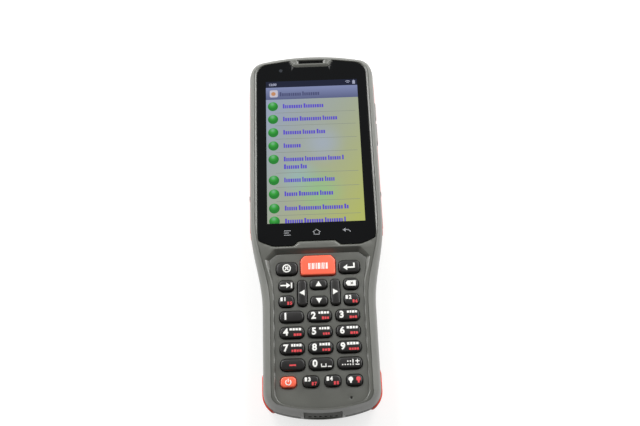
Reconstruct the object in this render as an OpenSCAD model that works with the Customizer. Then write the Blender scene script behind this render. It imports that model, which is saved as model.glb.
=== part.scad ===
// Portable barcode data terminal, lying on its back.
// +X is to the right of the display, +Y towards the scan window, +Z out of the display.
// The origin is the bottom centre of the whole device. All sizes are in millimetres.

/* [Body] */
// Length from the bottom end to the scan end
body_len = 203; // [190:0.5:225]
// Width across the head, without the keys on its flanks
head_w = 71.5; // [66:0.5:80]
// Width across the grip
grip_w = 59.6; // [56:0.2:64]
// Height of the glass above the resting face
glass_z = 26; // [24.6:0.2:29]
// Height of the joint between the front and the rear housing
part_z = 13.4; // [12.8:0.1:14.4]
// Thickness of the moulded walls
wall = 1.8; // [1.5:0.1:2]
// Height of the rim above the glass
rim_rise = 0.3; // [0.2:0.1:0.6]

/* [Outline] */
// Where the head starts to narrow, from the bottom end
waist_start = 102.5; // [101:0.5:106]
// Length over which the head narrows to the grip
waist_len = 46.5; // [44:0.5:49]
// Radius of the corners at the scan end
head_corner_r = 9.5; // [9:0.5:11]
// Radius of the corners at the bottom end
grip_corner_r = 10; // [9.5:0.5:11]
// Radius of the arch across the scan end
head_arch_r = 130; // [110:5:180]
// Radius of the arch across the bottom end
grip_arch_r = 75; // [70:5:100]

/* [Display] */
// Width of the rim on each side of the glass
side_rim = 4.75; // [4.4:0.05:5.5]
// Width of the rim between the glass and the scan end
scan_rim = 3.6; // [3.4:0.1:5]
// Height of the land between the glass and the keypad plate
land = 3.8; // [3.6:0.1:5]
// Black border of the glass beside the display panel
border = 2.88; // [2.4:0.02:4]
// Thickness of the glass
lens_t = 1.3; // [1:0.1:1.5]
// Thickness of the panel under the glass
panel_t = 2.1; // [1.8:0.1:2.3]

/* [Keypad] */
// Depth of the keypad below the glass
keypad_drop = 2.5; // [2.2:0.1:2.8]
// Height of the land round the keypad plate, above the plate
grip_rise = 0.7; // [0.4:0.1:0.9]
// Width of the land on each side of the keypad plate
grip_land = 6.9; // [6.6:0.1:8]
// Thickness of the keypad plate
plate_t = 1.5; // [1.3:0.1:1.6]
// Gap between two columns of number keys
col_gap = 2.23; // [2:0.01:3]
// Edge of the keypad plate beside the number keys
plate_edge = 2.67; // [2.4:0.01:3.2]
// Distance from one row of number keys to the next
row_pitch = 8.1; // [8:0.01:8.3]
// Middle of the bottom row of keys, from the bottom end
bottom_row = 16.8; // [16.4:0.1:18]
// Height of a number key, seen from the front
num_key_h = 5.7; // [5.4:0.1:6.2]
// How far the keys stand above the plate
key_rise = 1.8; // [1.4:0.1:2]
// Gap round each key
key_gap = 0.35; // [0.3:0.01:0.4]
// How far a key can be pressed
key_travel = 0.8; // [0.6:0.05:0.85]

/* [Flank keys] */
// Middle of the side scan keys, above the start of the waist
side_scan_up = 3; // [2:0.5:5]
// Length of the side scan keys
side_scan_len = 17; // [14:0.5:18]
// Middle of the volume key, from the scan end
volume_place = 33.7; // [33:0.1:34.5]
// Length of the volume key
volume_len = 11.5; // [10:0.5:12]
// Middle of the camera key, from the scan end
camera_key_place = 48; // [47.5:0.1:50]
// Length of the camera key
camera_key_len = 14; // [12:0.5:14.5]
// How far the flank keys can be pressed
flank_travel = 0.5; // [0.4:0.05:0.7]

/* [Battery] */
// Room between the battery and each side of the grip
battery_side = 10.8; // [10.6:0.1:13]
// Length of the battery
battery_len = 62; // [58:0.5:63]
// Roof of the battery bay, below the joint between the housings
bay_roof = 1.3; // [1:0.1:2]
// Middle of the battery, from the bottom end
battery_place = 51.5; // [51:0.5:53]
// Thickness of the battery cover
cover_t = 1.6; // [1.4:0.1:1.7]

/* [Port] */
// Width of the port cover
port_w = 18.6; // [16:0.2:19.4]
// Height of the port cover
port_h = 8.6; // [8:0.1:9]
// Thickness of the port cover
port_t = 1.5; // [1.3:0.1:1.6]
// Lean of the bottom wall at the port, in degrees
port_tilt = 12.4; // [8:0.2:14]

/* [Scan end] */
// Width of the scan window
window_w = 30; // [26:0.5:32]
// Height of the scan window
window_h = 8.4; // [7:0.2:8.8]

/* [Hidden] */
$fn = 48;
eps = 0.01;
fit = 0.15;       // between pieces that stay put
slip = 0.3;       // between pieces that move
y_end = body_len / 2;
head_h = head_w / 2;
grip_h = grip_w / 2;
waist_top = waist_start - y_end;
arch_n = 5;       // steps in each end's arch
corner_n = 6;     // steps in each corner
waist_n = 14;     // steps down each side
plate_z = glass_z - keypad_drop;
ledge_z = glass_z - lens_t - fit;

// ---------- places along the body ----------
plate_half = grip_h - grip_land;
num_key_w = (2 * (plate_half - plate_edge) - 2 * col_gap) / 3;
col_pitch = num_key_w + col_gap;
bottom_row_y = bottom_row - y_end;
first_row_y = bottom_row_y + 8.5 + 3 * row_pitch;
arrow_y = first_row_y + 12.25;    // middle of the arrow group
scan_key_y = arrow_y + 14.6;
scan_key_h = 10.7;
plate_top = scan_key_y + scan_key_h / 2 + 1.6;
plate_low = 3.9 - y_end;
lens_w = head_w - 2 * side_rim;
lens_top = y_end - scan_rim;
lens_foot = plate_top + land;     // lower edge of the glass beside the tab
tab_foot = lens_foot + 2.5;       // lower edge of the glass above the tab
lens_len = lens_top - lens_foot;
panel_w = lens_w - 2 * border;
panel_len = lens_len - 15.8;
panel_y = lens_foot + 6.6 + panel_len / 2;
earpiece_y = lens_top - 0.8;
earpiece_h = 1.7;

// ---------- looks ----------
housing_grey = "#5f605a";
key_black = "#2b2a29";
signal_orange = "#ff6a4d";

// ---------- outline of the body ----------
// Points on an arc about a centre, from angle a0 to angle a1 in n steps
function mid_arc(centre, r, a0, a1, n) =
    [for (i = [0:n]) centre + r * [cos(a0 + (a1 - a0) * i / n), sin(a0 + (a1 - a0) * i / n)]];
function ease(t) = t <= 0 ? 0 : t >= 1 ? 1 : (1 - cos(180 * t)) / 2;
function waist_x(y, head, grip) = grip + (head - grip) * ease((y - waist_top + waist_len) / waist_len);
// Centre of the corner circle that touches a side at half width h and an end arch of radius big
function corner_centre(h, end, r, big, s) =
    [h - r, end - s * big + s * sqrt(pow(big - r, 2) - pow(h - r, 2))];
function drop_last(v) = [for (i = [0:len(v) - 2]) v[i]];
// Right half of the outline from the bottom centre to the top centre, inset by [head, grip, top, bottom]
function right_side(inset) =
    let (
        head = head_h - inset[0],
        grip = grip_h - inset[1],
        top = y_end - inset[2],
        low = -y_end + inset[3],
        rt = head_corner_r - min(inset[0], head_corner_r - 2),
        rb = grip_corner_r - min(inset[1], grip_corner_r - 2),
        ct = corner_centre(head, top, rt, head_arch_r, 1),
        cb = corner_centre(grip, low, rb, grip_arch_r, -1),
        at = atan2(ct[1] - top + head_arch_r, ct[0]),
        ab = atan2(cb[1] - low - grip_arch_r, cb[0])
    )
    concat(
        drop_last(mid_arc([0, low + grip_arch_r], grip_arch_r, -90, ab, arch_n)),
        drop_last(mid_arc(cb, rb, ab, 0, corner_n)),
        [for (i = [0:waist_n])
            let (y = cb[1] + (waist_top + 4 - cb[1]) * pow(i / waist_n, 0.72))
            [waist_x(y, head, grip), y]],
        drop_last(mid_arc(ct, rt, 0, at, corner_n)),
        mid_arc([0, top - head_arch_r], head_arch_r, at, 90, arch_n)
    );
function whole_outline(inset) =
    let (side = right_side(inset), n = len(side))
    concat(side, [for (i = [n - 2:-1:1]) [-side[i][0], side[i][1]]]);

// The front face falls from the glass to the land round the keypad, and at the bottom end to the plate
crease_start = tab_foot + 1.3;
crease_len = 28;
land_end_run = 9;
land_end_rise = 0.06;
function land_rise(y) = land_end_rise + (grip_rise - land_end_rise) * ease((y - plate_low) / land_end_run);
function crease_drop(y) = (keypad_drop + rim_rise - land_rise(y)) * ease((crease_start - y) / crease_len);

// A closed solid through levels [z, sink, inset]: sink is the share of the front face's fall
module lofted(levels) {
    side_n = len(right_side(levels[0][2]));
    n = 2 * side_n - 2;
    points = [for (l = levels) for (p = whole_outline(l[2])) [p[0], p[1], l[0] - l[1] * crease_drop(p[1])]];
    last = (len(levels) - 1) * n;
    walls = [for (k = [0:len(levels) - 2]) for (j = [0:n - 1]) for (half = [0, 1])
        let (a = k * n + j, b = k * n + (j + 1) % n)
        half == 0 ? [a, b + n, b] : [a, a + n, b + n]];
    floor_faces = concat([[0, 1, n - 1]], [[side_n - 2, side_n - 1, side_n]],
        [for (i = [1:side_n - 3]) [i, i + 1, n - i - 1, n - i]]);
    roof_faces = [for (f = floor_faces) [for (i = [len(f) - 1:-1:0]) f[i] + last]];
    polyhedron(points, concat(walls, floor_faces, roof_faces), convexity = 6);
}

// Levels of the outer skin: insets are [head side, grip side, scan end, bottom end]
rear_skin = [
    [0, 0, [7, 7.5, 4.5, 4.5]],
    [1.2, 0, [4.4, 5, 2.4, 2.6]],
    [4.5, 0, [1.3, 1.9, 0.6, 0.6]],
    [9, 0, [0.15, 0.25, 0, 0]],
    [part_z, 0, [0, 0, 0, 0.35]]
];
front_skin = [
    [part_z, 0, [0, 0, 0, 0.35]],
    [glass_z - 8, 0.2, [0, 0.5, 0, 1.4]],
    [glass_z - 4.5, 0.5, [0.35, 1.6, 0.05, 2.2]],
    [glass_z - 1.4, 0.9, [1.4, 3.3, 0.3, 2.7]],
    [glass_z + rim_rise, 1, [2.9, 4.5, 2.7, 3.1]]
];
function thicker(inset, t) = [for (i = inset) i + t];
cavity_top = glass_z - 3.4;
rear_hollow = [
    [wall, 0, thicker([4, 4.6, 2.1, 2.3], wall)],
    [5, 0, thicker([1.2, 1.7, 0.5, 0.5], wall)],
    [part_z + 1, 0, thicker([0, 0, 0, 0.35], wall)]
];
front_hollow = [
    [part_z - 1, 0, thicker([0, 0, 0, 0.35], wall)],
    [glass_z - 8, 0.2, thicker([0.1, 0.6, 0.1, 1.5], wall)],
    [cavity_top, 0.8, thicker([1.3, 2.6, 0.6, 2.8], wall)]
];

// A closed solid between two outlines of the same number of points
module between(low_outline, low_z, high_outline, high_z) {
    n = len(low_outline);
    points = concat([for (p = low_outline) [p[0], p[1], low_z]], [for (p = high_outline) [p[0], p[1], high_z]]);
    walls = [for (j = [0:n - 1]) for (half = [0, 1])
        let (b = (j + 1) % n)
        half == 0 ? [j, b + n, b] : [j, j + n, b + n]];
    ends = [[for (i = [0:n - 1]) i], [for (i = [n - 1:-1:0]) i + n]];
    polyhedron(points, concat(walls, ends), convexity = 6);
}
function mirrored(side) = concat(side, [for (i = [len(side) - 1:-1:0]) [-side[i][0], side[i][1]]]);

// ---------- display ----------
lens_half = lens_w / 2;
lens_corner_r = 7;
lens_arch_r = 150;
// Glass outline, grown by d on every side; a notch at the top for the earpiece and one below for the tab
function lens_side(d) =
    let (
        h = lens_half + d,
        r = lens_corner_r + d,
        c = corner_centre(h, lens_top + d, r, lens_arch_r, 1),
        a = atan2(c[1] - lens_top - d + lens_arch_r, c[0])
    )
    concat(
        [[9.7 - d * 0.5, tab_foot - d], [12.5 - d * 0.5, lens_foot - d], [h - d - 8.1, lens_foot - d]],
        [[h - 1, lens_foot + 2.8 - d], [h, lens_foot + 4.3 - d * 0.5]],
        mid_arc(c, r, 0, a, 6),
        [[12.6 - d, lens_top - 0.4 + d], [10.4 - d, lens_top - 4.1 + d]]
    );
function lens_outline(d) = mirrored(lens_side(d));

// ---------- keypad ----------
plate_flare = 2.6;                // how much wider the plate is beside the scan key
// Keypad plate outline, grown by d on every side
function plate_side(d) = concat(
    mid_arc([0, plate_low + grip_arch_r - d], grip_arch_r, -88, -78.2, 4),
    mid_arc([plate_half - 6, plate_low + 8.1], 6 + d, -66, 0, 4),
    [
        [plate_half + d, plate_top - 18.4],
        [plate_half + 1.1 + d, plate_top - 12.4],
        [plate_half + plate_flare - 0.4 + d, plate_top - 6.4],
        [plate_half + plate_flare + d, plate_top - 3.2],
        [plate_half - 1.5 + d * 0.5, plate_top + d]
    ]
);
function plate_outline(d) = mirrored(plate_side(d));

module rounded_rect(w, h, r) {
    square([w, h - 2 * r], center = true);
    square([w - 2 * r, h], center = true);
    for (x = [-1, 1]) for (y = [-1, 1])
        translate([x * (w / 2 - r), y * (h / 2 - r)]) circle(r);
}

arrow_pitch = 4.4;                // up and down keys from the middle of the arrow group
arrow_x = 8.5;                    // left and right keys from the middle of the arrow group
arrow_side_w = 4.6;
scan_key_w = 18;
// The keys beside the arrows and the scan key fill the plate up to its edge
small_key_x = [arrow_x + arrow_side_w / 2 + 2.1, plate_half - 2.5];
wide_key_x = [scan_key_w / 2 + 1.8, plate_half - 1.3];
side_col = (small_key_x[0] + small_key_x[1]) / 2;
esc_col = (wide_key_x[0] + wide_key_x[1]) / 2;
esc_w = wide_key_x[1] - wide_key_x[0];
// Four keys share the bottom row
bottom_gap = 3.4;
bottom_middle = 3.1;              // gap between F3 and F4
bottom_edge = plate_half - 2.55;
bottom_key_w = (bottom_edge - bottom_middle / 2 - bottom_gap) / 2;
bottom_inner_x = (bottom_middle + bottom_key_w) / 2;
bottom_outer_x = bottom_edge - bottom_key_w / 2;
// Every key: name, x, y, width, height, corner radius
small_key = [small_key_x[1] - small_key_x[0], 5.8];
esc_h = 6.8;
up_key = [8.5, 4.9];
side_key_h = 13.6;
bottom_key_h = 5.4;
tab_up = 4.1;                     // tab and backspace above the middle of the arrow group, F1 and F2 below it
KEYS = concat(
    [
        ["key_esc", -esc_col, scan_key_y - 1.3, esc_w, esc_h, 2.4],
        ["key_scan", 0, scan_key_y, scan_key_w, scan_key_h, 1.4],
        ["key_enter", esc_col, scan_key_y - 1.3, esc_w, esc_h, 2.4],
        ["key_tab", -side_col, arrow_y + tab_up, small_key[0], small_key[1], 2.3],
        ["key_backspace", side_col, arrow_y + tab_up, small_key[0], small_key[1], 2.3],
        ["key_up", 0, arrow_y + arrow_pitch, up_key[0], up_key[1], 1.9],
        ["key_down", 0, arrow_y - arrow_pitch, up_key[0], up_key[1], 1.9],
        ["key_left", -arrow_x, arrow_y, arrow_side_w, side_key_h, 1.8],
        ["key_right", arrow_x, arrow_y, arrow_side_w, side_key_h, 1.8],
        ["key_f1", -side_col, arrow_y - tab_up, small_key[0], small_key[1], 2.3],
        ["key_f2", side_col, arrow_y - tab_up, small_key[0], small_key[1], 2.3]
    ],
    [for (i = [0:8]) [str("key_", i + 1), (i % 3 - 1) * col_pitch, first_row_y - floor(i / 3) * row_pitch,
        num_key_w, num_key_h, 2.4]],
    [
        ["key_dash", -col_pitch, first_row_y - 3 * row_pitch, num_key_w, num_key_h, 2.4],
        ["key_0", 0, first_row_y - 3 * row_pitch, num_key_w, num_key_h, 2.4],
        ["key_symbols", col_pitch, first_row_y - 3 * row_pitch, num_key_w, num_key_h, 2.4],
        ["key_power", -bottom_outer_x, bottom_row_y, bottom_key_w, bottom_key_h, 2.1],
        ["key_f3", -bottom_inner_x, bottom_row_y, bottom_key_w, bottom_key_h, 2.1],
        ["key_f4", bottom_inner_x, bottom_row_y, bottom_key_w, bottom_key_h, 2.1],
        ["key_light", bottom_outer_x - 0.4, bottom_row_y, bottom_key_w, bottom_key_h, 2.1]
    ]
);
flange_rim = 0.5;                 // how far a key's flange reaches past its cap
flange_t = 0.8;
flange_z = plate_z - plate_t - flange_t;
dome_h = 0.6;
dome_r = 2.2;
board_t = 1;
keypad_board_z = flange_z - key_travel - 0.1 - dome_h - board_t;
opening_lip = -0.6;               // the plate rests on a lip this wide

function is_orange(name) = name == "key_scan" || name == "key_power";

// Plan of a key, grown by d; the scan key's upper corners are cut off
scan_cut = [2, 2.4];
module key_plan(k, d) {
    difference() {
        rounded_rect(k[3] + 2 * d, k[4] + 2 * d, k[5] + d);
        if (k[0] == "key_scan")
            for (s = [-1, 1]) translate([s * (k[3] / 2 + d), k[4] / 2 + d]) scale(1 + 0.27 * d)
                polygon([[s, 1], [-s * scan_cut[0] - s * 0.83, 1], [s, -scan_cut[1] - 1.2]]);
    }
}

// Profile of a key seen from one side: straight flanks, round shoulders and a gently crowned top
module key_profile(w, low, high) {
    shoulder = 0.7;
    crown = 0.25;
    polygon(concat(
        [[-w / 2, low], [w / 2, low]],
        mid_arc([w / 2 - shoulder, high - crown - shoulder], shoulder, 0, 80, 3),
        [[w / 4, high - 0.06], [0, high], [-w / 4, high - 0.06]],
        mid_arc([-w / 2 + shoulder, high - crown - shoulder], shoulder, 100, 180, 3)
    ));
}

module key_cap(k) {
    w = k[3];
    h = k[4];
    top = plate_z + key_rise;
    color(is_orange(k[0]) ? signal_orange : key_black)
    translate([k[1], k[2], 0]) {
        intersection() {
            translate([0, 0, flange_z]) linear_extrude(top - flange_z + 1) key_plan(k, 0);
            rotate([90, 0, 0]) linear_extrude(h + 1, center = true) key_profile(w, flange_z, top);
            rotate([90, 0, 90]) linear_extrude(w + 1, center = true) key_profile(h, flange_z, top);
        }
        translate([0, 0, flange_z]) linear_extrude(flange_t) key_plan(k, flange_rim);
    }
}

mic_place = [plate_half - 8.8, 8.4 - y_end];
module keypad_plate() {
    color(housing_grey)
    difference() {
        translate([0, 0, plate_z - plate_t]) linear_extrude(plate_t) polygon(plate_outline(-fit));
        for (k = KEYS)
            translate([k[1], k[2], plate_z - plate_t - 1]) linear_extrude(plate_t + 2) key_plan(k, key_gap);
        translate([mic_place[0], mic_place[1], plate_z - plate_t - 1]) cylinder(r = 0.6, h = plate_t + 2);
    }
}

module keypad_board() {
    color("#1d5a3a")
    translate([0, 0, keypad_board_z]) linear_extrude(board_t) difference() {
        polygon(plate_outline(0.6));
        translate([-grip_h, -y_end]) square([grip_w, y_end + keypad_low - 1]);
        for (p = SCREWS) translate(p) circle(boss_r + slip);
    }
}

module key_domes() {
    color("silver")
    for (k = KEYS) translate([k[1], k[2], keypad_board_z + board_t]) dome();
}

// A snap dome: a shallow dish turned on its axis
module dome() {
    rotate_extrude()
        polygon([[0, 0], [dome_r, 0], [0.8 * dome_r, 0.5 * dome_h], [0.45 * dome_r, dome_h], [0, dome_h]]);
}

// ---------- screws and bosses ----------
screw_head_r = 2.1;
screw_r = 1;
boss_r = 3;
// Screws at the scan end, below the display and at the bottom end; each has a twin on the left
screw_places = [[head_h - 11.25, y_end - 8.5], [head_h - 10.55, lens_foot + 1.8], [grip_h - 13.3, 9.6 - y_end]];
SCREWS = [for (s = [-1, 1]) for (p = screw_places) [s * p[0], p[1]]];
screw_sink = 2.4;                 // depth of the screw heads' wells
screw_len = 15.5;

module housing_screws() {
    color("#3c3c3c")
    for (p = SCREWS) translate([p[0], p[1], screw_sink]) difference() {
        union() {
            translate([0, 0, -1.4]) cylinder(r = screw_head_r, h = 1.4);
            cylinder(r = screw_r, h = screw_len);
        }
        translate([0, 0, -1.4 - eps]) cylinder(r = 0.9, h = 0.9, $fn = 6);
    }
}

// ---------- front housing ----------
module bosses(z0, z1, which) {
    for (s = [-1, 1]) for (i = which)
        translate([s * screw_places[i][0], screw_places[i][1], z0]) cylinder(r = boss_r, h = z1 - z0);
}

// Opening under the plate; its bottom end stays closed, to carry the plate and the lower screws
keypad_low = bottom_row_y - 4.4;
module keypad_opening() {
    intersection() {
        polygon(plate_outline(opening_lip));
        translate([-grip_h, keypad_low]) square([grip_w, plate_top - keypad_low + 1]);
    }
}

bevel_run = 2.6;                  // how far the keypad's slanted walls lean out
module keypad_field() {
    translate([0, 0, plate_z - plate_t]) linear_extrude(plate_t + eps) polygon(plate_outline(0));
    between(plate_outline(0), plate_z, plate_outline(bevel_run), glass_z + rim_rise + 0.2);
}

lens_bevel = 1.15;
module display_field() {
    translate([0, 0, ledge_z]) linear_extrude(lens_t + fit + 1) polygon(lens_outline(fit));
    between(lens_outline(fit), glass_z - 0.35, lens_outline(lens_bevel), glass_z + rim_rise + 0.05);
    translate([0, panel_y, cavity_top - 1]) linear_extrude(4) rounded_rect(panel_w + 1.6, panel_len + 1.6, 3);
}

earpiece_w = 14;
// Rectangle round the earpiece slot, longer by end and wider by side
function slot_mouth(end, side) = let (x = earpiece_w / 2 + end, y = earpiece_h / 2 + side)
    [[-x, -y], [x, -y], [x, earpiece_h / 2 + side / 2], [-x, earpiece_h / 2 + side / 2]];
module front_housing() {
    color(housing_grey)
    difference() {
        union() {
            difference() {
                lofted(front_skin);
                lofted(front_hollow);
            }
            // rim that the keypad board rests against
            translate([0, 0, keypad_board_z + board_t])
                linear_extrude(plate_z - plate_t - keypad_board_z - board_t) polygon(plate_outline(1.2));
            bosses(part_z, cavity_top + 0.5, [0, 1]);
            bosses(part_z, plate_z - plate_t, [2]);
        }
        keypad_field();
        translate([0, 0, keypad_board_z]) linear_extrude(plate_z - keypad_board_z) keypad_opening();
        display_field();
        // fine groove along each side of the display
        for (s = [-1, 1]) translate([s * (lens_half + 1.5) - 0.15, crease_start + 8, glass_z + rim_rise - 0.25])
            cube([0.3, y_end - head_corner_r - 2.5 - crease_start - 8, 1]);
        // slot for the earpiece, between slanted walls
        translate([0, earpiece_y, glass_z - 4]) linear_extrude(6) square([earpiece_w, earpiece_h], center = true);
        translate([0, earpiece_y, 0])
            between(slot_mouth(0.05, 0.05), glass_z - 0.5, slot_mouth(1, 0.5), glass_z + rim_rise + 0.05);
        for (p = SCREWS) translate([p[0], p[1], part_z - 1])
            cylinder(r = screw_r, h = screw_len + screw_sink - part_z + 1.4);
        volume_slot(slip);
        camera_key_slot(slip);
        at_port() port_cut();
    }
}

module display_lens() {
    color("#141516")
    translate([0, 0, glass_z - lens_t]) linear_extrude(lens_t) polygon(lens_outline(0));
}

module display_panel() {
    color("#303338")
    translate([0, panel_y, glass_z - lens_t - 0.1 - panel_t])
        linear_extrude(panel_t) square([panel_w, panel_len], center = true);
}

frame_t = 0.9;
frame_z = glass_z - lens_t - panel_t - 0.3 - frame_t;
main_board_z = frame_z - 4;
standoffs = [for (s = [-1, 1]) for (y = [y_end - 26, panel_y - 1, lens_foot + 26.3]) [s * (head_h - 13.75), y]];
module display_frame() {
    color("#8d9095")
    difference() {
        union() {
            translate([0, panel_y, frame_z]) linear_extrude(frame_t) rounded_rect(lens_w - 0.6, lens_len - 4.2, 4);
            for (p = standoffs) translate([p[0], p[1], main_board_z + board_t])
                cylinder(r = 2, h = frame_z - main_board_z - board_t);
        }
        for (p = SCREWS) translate([p[0], p[1], frame_z - 1]) cylinder(r = boss_r + fit, h = frame_t + 2);
        translate([0, earpiece_y - 1, frame_z - 1]) linear_extrude(frame_t + 2) square([earpiece_w + 4, 8], center = true);
    }
}

module earpiece_mesh() {
    color("#1c1c1c")
    translate([0, earpiece_y, glass_z - 1]) difference() {
        linear_extrude(0.5) square([earpiece_w - 2 * fit, earpiece_h - 2 * fit], center = true);
        for (i = [-5:5]) translate([i * 1.2, 0, -1]) linear_extrude(3) square([0.6, 0.5], center = true);
    }
}

module earpiece_speaker() {
    color("#2a2a2a")
    translate([0, earpiece_y - 1.3, glass_z - 7.2]) linear_extrude(3.2) rounded_rect(15, 5.4, 2);
}

// ---------- boards and their parts ----------
main_board_w = head_w - 10.5;
main_board_len = lens_len - 20.2;
main_board_y = y_end - 11.5 - main_board_len / 2;
module main_board() {
    color("#1d5a3a")
    difference() {
        translate([0, main_board_y, main_board_z])
            linear_extrude(board_t) rounded_rect(main_board_w, main_board_len, 3);
        for (p = SCREWS) translate([p[0], p[1], main_board_z - 1]) cylinder(r = boss_r + slip, h = board_t + 2);
    }
}

shield_t = 1.8;
// Shield cans from the middle of the main board: x, y, width, length
SHIELDS = [[-9, 8, 26, 34], [15, 16, 16, 22], [14, -14, 20, 24]];
module shield_cans() {
    color("#b9bcc0")
    for (b = SHIELDS) translate([b[0], main_board_y + b[1], main_board_z - shield_t])
        linear_extrude(shield_t) rounded_rect(b[2], b[3], 1);
}

engine_size = [22, 14, 9.6];
module scan_engine() {
    color("#33363b")
    translate([0, y_end - 4.6 - engine_size[1] / 2, wall + 0.1]) {
        difference() {
            translate([0, 0, engine_size[2] / 2]) cube(engine_size, center = true);
            translate([-5, engine_size[1] / 2 - 3, engine_size[2] / 2]) rotate([-90, 0, 0]) cylinder(r = 3, h = 4);
        }
        translate([-5, engine_size[1] / 2 - 3, engine_size[2] / 2]) rotate([-90, 0, 0]) cylinder(r = 2.6, h = 2.6);
    }
}

window_z = part_z / 2 + 0.3;
module window_hole(grow) {
    translate([0, y_end - 2, window_z]) rotate([90, 0, 0]) linear_extrude(8, center = true)
        rounded_rect(window_w + 2 * grow, window_h + 2 * grow, 1.6);
}
module scan_window() {
    color("#3a1416")
    translate([0, y_end - 2.2, window_z]) rotate([90, 0, 0]) linear_extrude(1.2, center = true)
        rounded_rect(window_w, window_h, 1.6);
}

// ---------- rear housing ----------
bay_gap = 0.4;
battery_y = battery_place - y_end;
battery_w = grip_w - 2 * battery_side;
battery_z = cover_t + 0.7;
battery_t = part_z - bay_roof - bay_gap / 2 - battery_z;
contact_room = 2;                 // beyond the battery's end, for its contacts
bay_w = battery_w + 2 * bay_gap;
bay_len = battery_len + 2 * bay_gap + contact_room;
bay_y = battery_y + contact_room / 2;
cover_w = battery_w + 5;
cover_low = battery_y - battery_len / 2 - 4.5;
cover_high = battery_y + battery_len / 2 + 6.5;
cover_z = 0.2;
cover_mid = (cover_low + cover_high) / 2;
cover_len = cover_high - cover_low;
hinge_y = cover_low - 1.9;
swing_room = 0.3;                 // extra gap at the hinged edge, for the cover's corner as it swings
hinge_z = cover_z + 0.9;
hinge_r = 0.9;
hinge_pin_r = 0.5;
tongue_w = 5;
tongue_x = 12;
camera_place = [-17, y_end - 20];
flash_place = [-17, y_end - 30];
speaker_place = [16, y_end - 26];

module lug_slots() {
    for (s = [-1, 1]) translate([s * tongue_x, hinge_y, 0]) {
        translate([-tongue_w / 2 - slip, -hinge_r - slip, -1])
            cube([tongue_w + 2 * slip, cover_low - hinge_y + hinge_r + slip + 1, hinge_z + hinge_r + slip + 1]);
        translate([-tongue_w / 2 - 1.6, 0, hinge_z]) rotate([0, 90, 0]) cylinder(r = hinge_pin_r + 0.06, h = tongue_w + 3.2);
    }
}

module rear_housing() {
    color("#4d4e4a")
    difference() {
        union() {
            difference() {
                lofted(rear_skin);
                difference() {
                    lofted(rear_hollow);
                    // tub round the battery and pan round its cover
                    translate([0, bay_y, part_z / 2]) cube([bay_w + 2 * wall, bay_len + 2 * wall, part_z], center = true);
                    translate([0, cover_mid - 1.5, 0])
                        cube([cover_w + 2 * wall, cover_len + 4 * wall, 2 * (cover_z + cover_t + 1.8)], center = true);
                }
            }
            bosses(wall / 2, part_z, [0, 1, 2]);
            for (s = [-1, 1]) translate([s * 6, -y_end + 9.4, wall / 2]) cylinder(r = 2, h = io_board_z - wall / 2);
        }
        // battery bay, and the seat of its cover
        translate([0, bay_y, battery_z - 2 + battery_t / 2]) cube([bay_w, bay_len, battery_t + 4 + bay_gap], center = true);
        translate([0, cover_mid - swing_room / 2, 0]) linear_extrude(2 * (cover_z + cover_t + 0.1), center = true)
            rounded_rect(cover_w + 2 * slip, cover_len + 2 * slip + swing_room, 3 + slip);
        lug_slots();
        for (p = SCREWS) translate([p[0], p[1], -1]) {
            cylinder(r = screw_r + 0.2, h = part_z + 2);
            cylinder(r = screw_head_r + 0.2, h = screw_sink + 1);
        }
        window_hole(fit);
        translate([camera_place[0], camera_place[1], -1]) cylinder(r = 4.6 + fit, h = wall + 2);
        translate([flash_place[0], flash_place[1], -1]) cylinder(r = 2.4 + fit, h = wall + 2);
        for (i = [-2:2]) translate([speaker_place[0], speaker_place[1] + i * 2.2, -1])
            linear_extrude(wall + 2) rounded_rect(11, 1, 0.45);
        for (s = [-1, 1]) {
            side_scan_slot(s, slip);
            stud_hole(s);
        }
        bumper_zone(0);
        at_port() port_cut();
    }
}

module battery_cover() {
    color("#4d4e4a") {
        difference() {
            union() {
                translate([0, cover_mid, cover_z]) linear_extrude(cover_t) rounded_rect(cover_w, cover_len, 3);
                for (s = [-1, 1]) translate([s * tongue_x, hinge_y, hinge_z]) {
                    rotate([0, 90, 0]) cylinder(r = hinge_r, h = tongue_w, center = true);
                    rotate([0, 90, 0]) cylinder(r = hinge_pin_r, h = tongue_w + 2, center = true);
                    translate([-tongue_w / 2, 0, -0.5]) cube([tongue_w, cover_low - hinge_y + 1, 1]);
                }
            }
            // ribs for the thumb
            for (i = [0:4]) translate([0, cover_high - 6 - i * 2, cover_z - 1])
                linear_extrude(1.4) rounded_rect(16 - i * 2, 0.8, 0.35);
        }
    }
}

module battery() {
    color("#23262b")
    translate([0, battery_y, battery_z]) linear_extrude(battery_t) rounded_rect(battery_w, battery_len, 2);
}

module battery_contacts() {
    color("#c9a24a")
    for (i = [-1.5:1.5]) translate([i * 3.4 - 0.75, battery_y + battery_len / 2, battery_z + 2])
        cube([1.5, bay_gap + contact_room - 0.05, battery_t - 4]);
}

// ---------- flanks ----------
flank_key_z = (part_z + glass_z) / 2 - 3.2;
flank_key_h = 4;
side_scan_z = 8.6;
flank_rest = 0.05;                // what still stands proud when a flank key is pressed
side_scan_h = 6.4;
side_scan_y = waist_top + side_scan_up;
volume_y = y_end - volume_place;
camera_key_y = y_end - camera_key_place;

// A key in the flank: a bar with rounded ends across the wall, and a wider flange inside it
module flank_bar(y, z, len, h, grow, x0, x1) {
    translate([x0, y, z]) rotate([0, 90, 0]) linear_extrude(x1 - x0)
        rounded_rect(h + 2 * grow, len + 2 * grow, h / 2 - 0.4 + grow);
}
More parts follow.
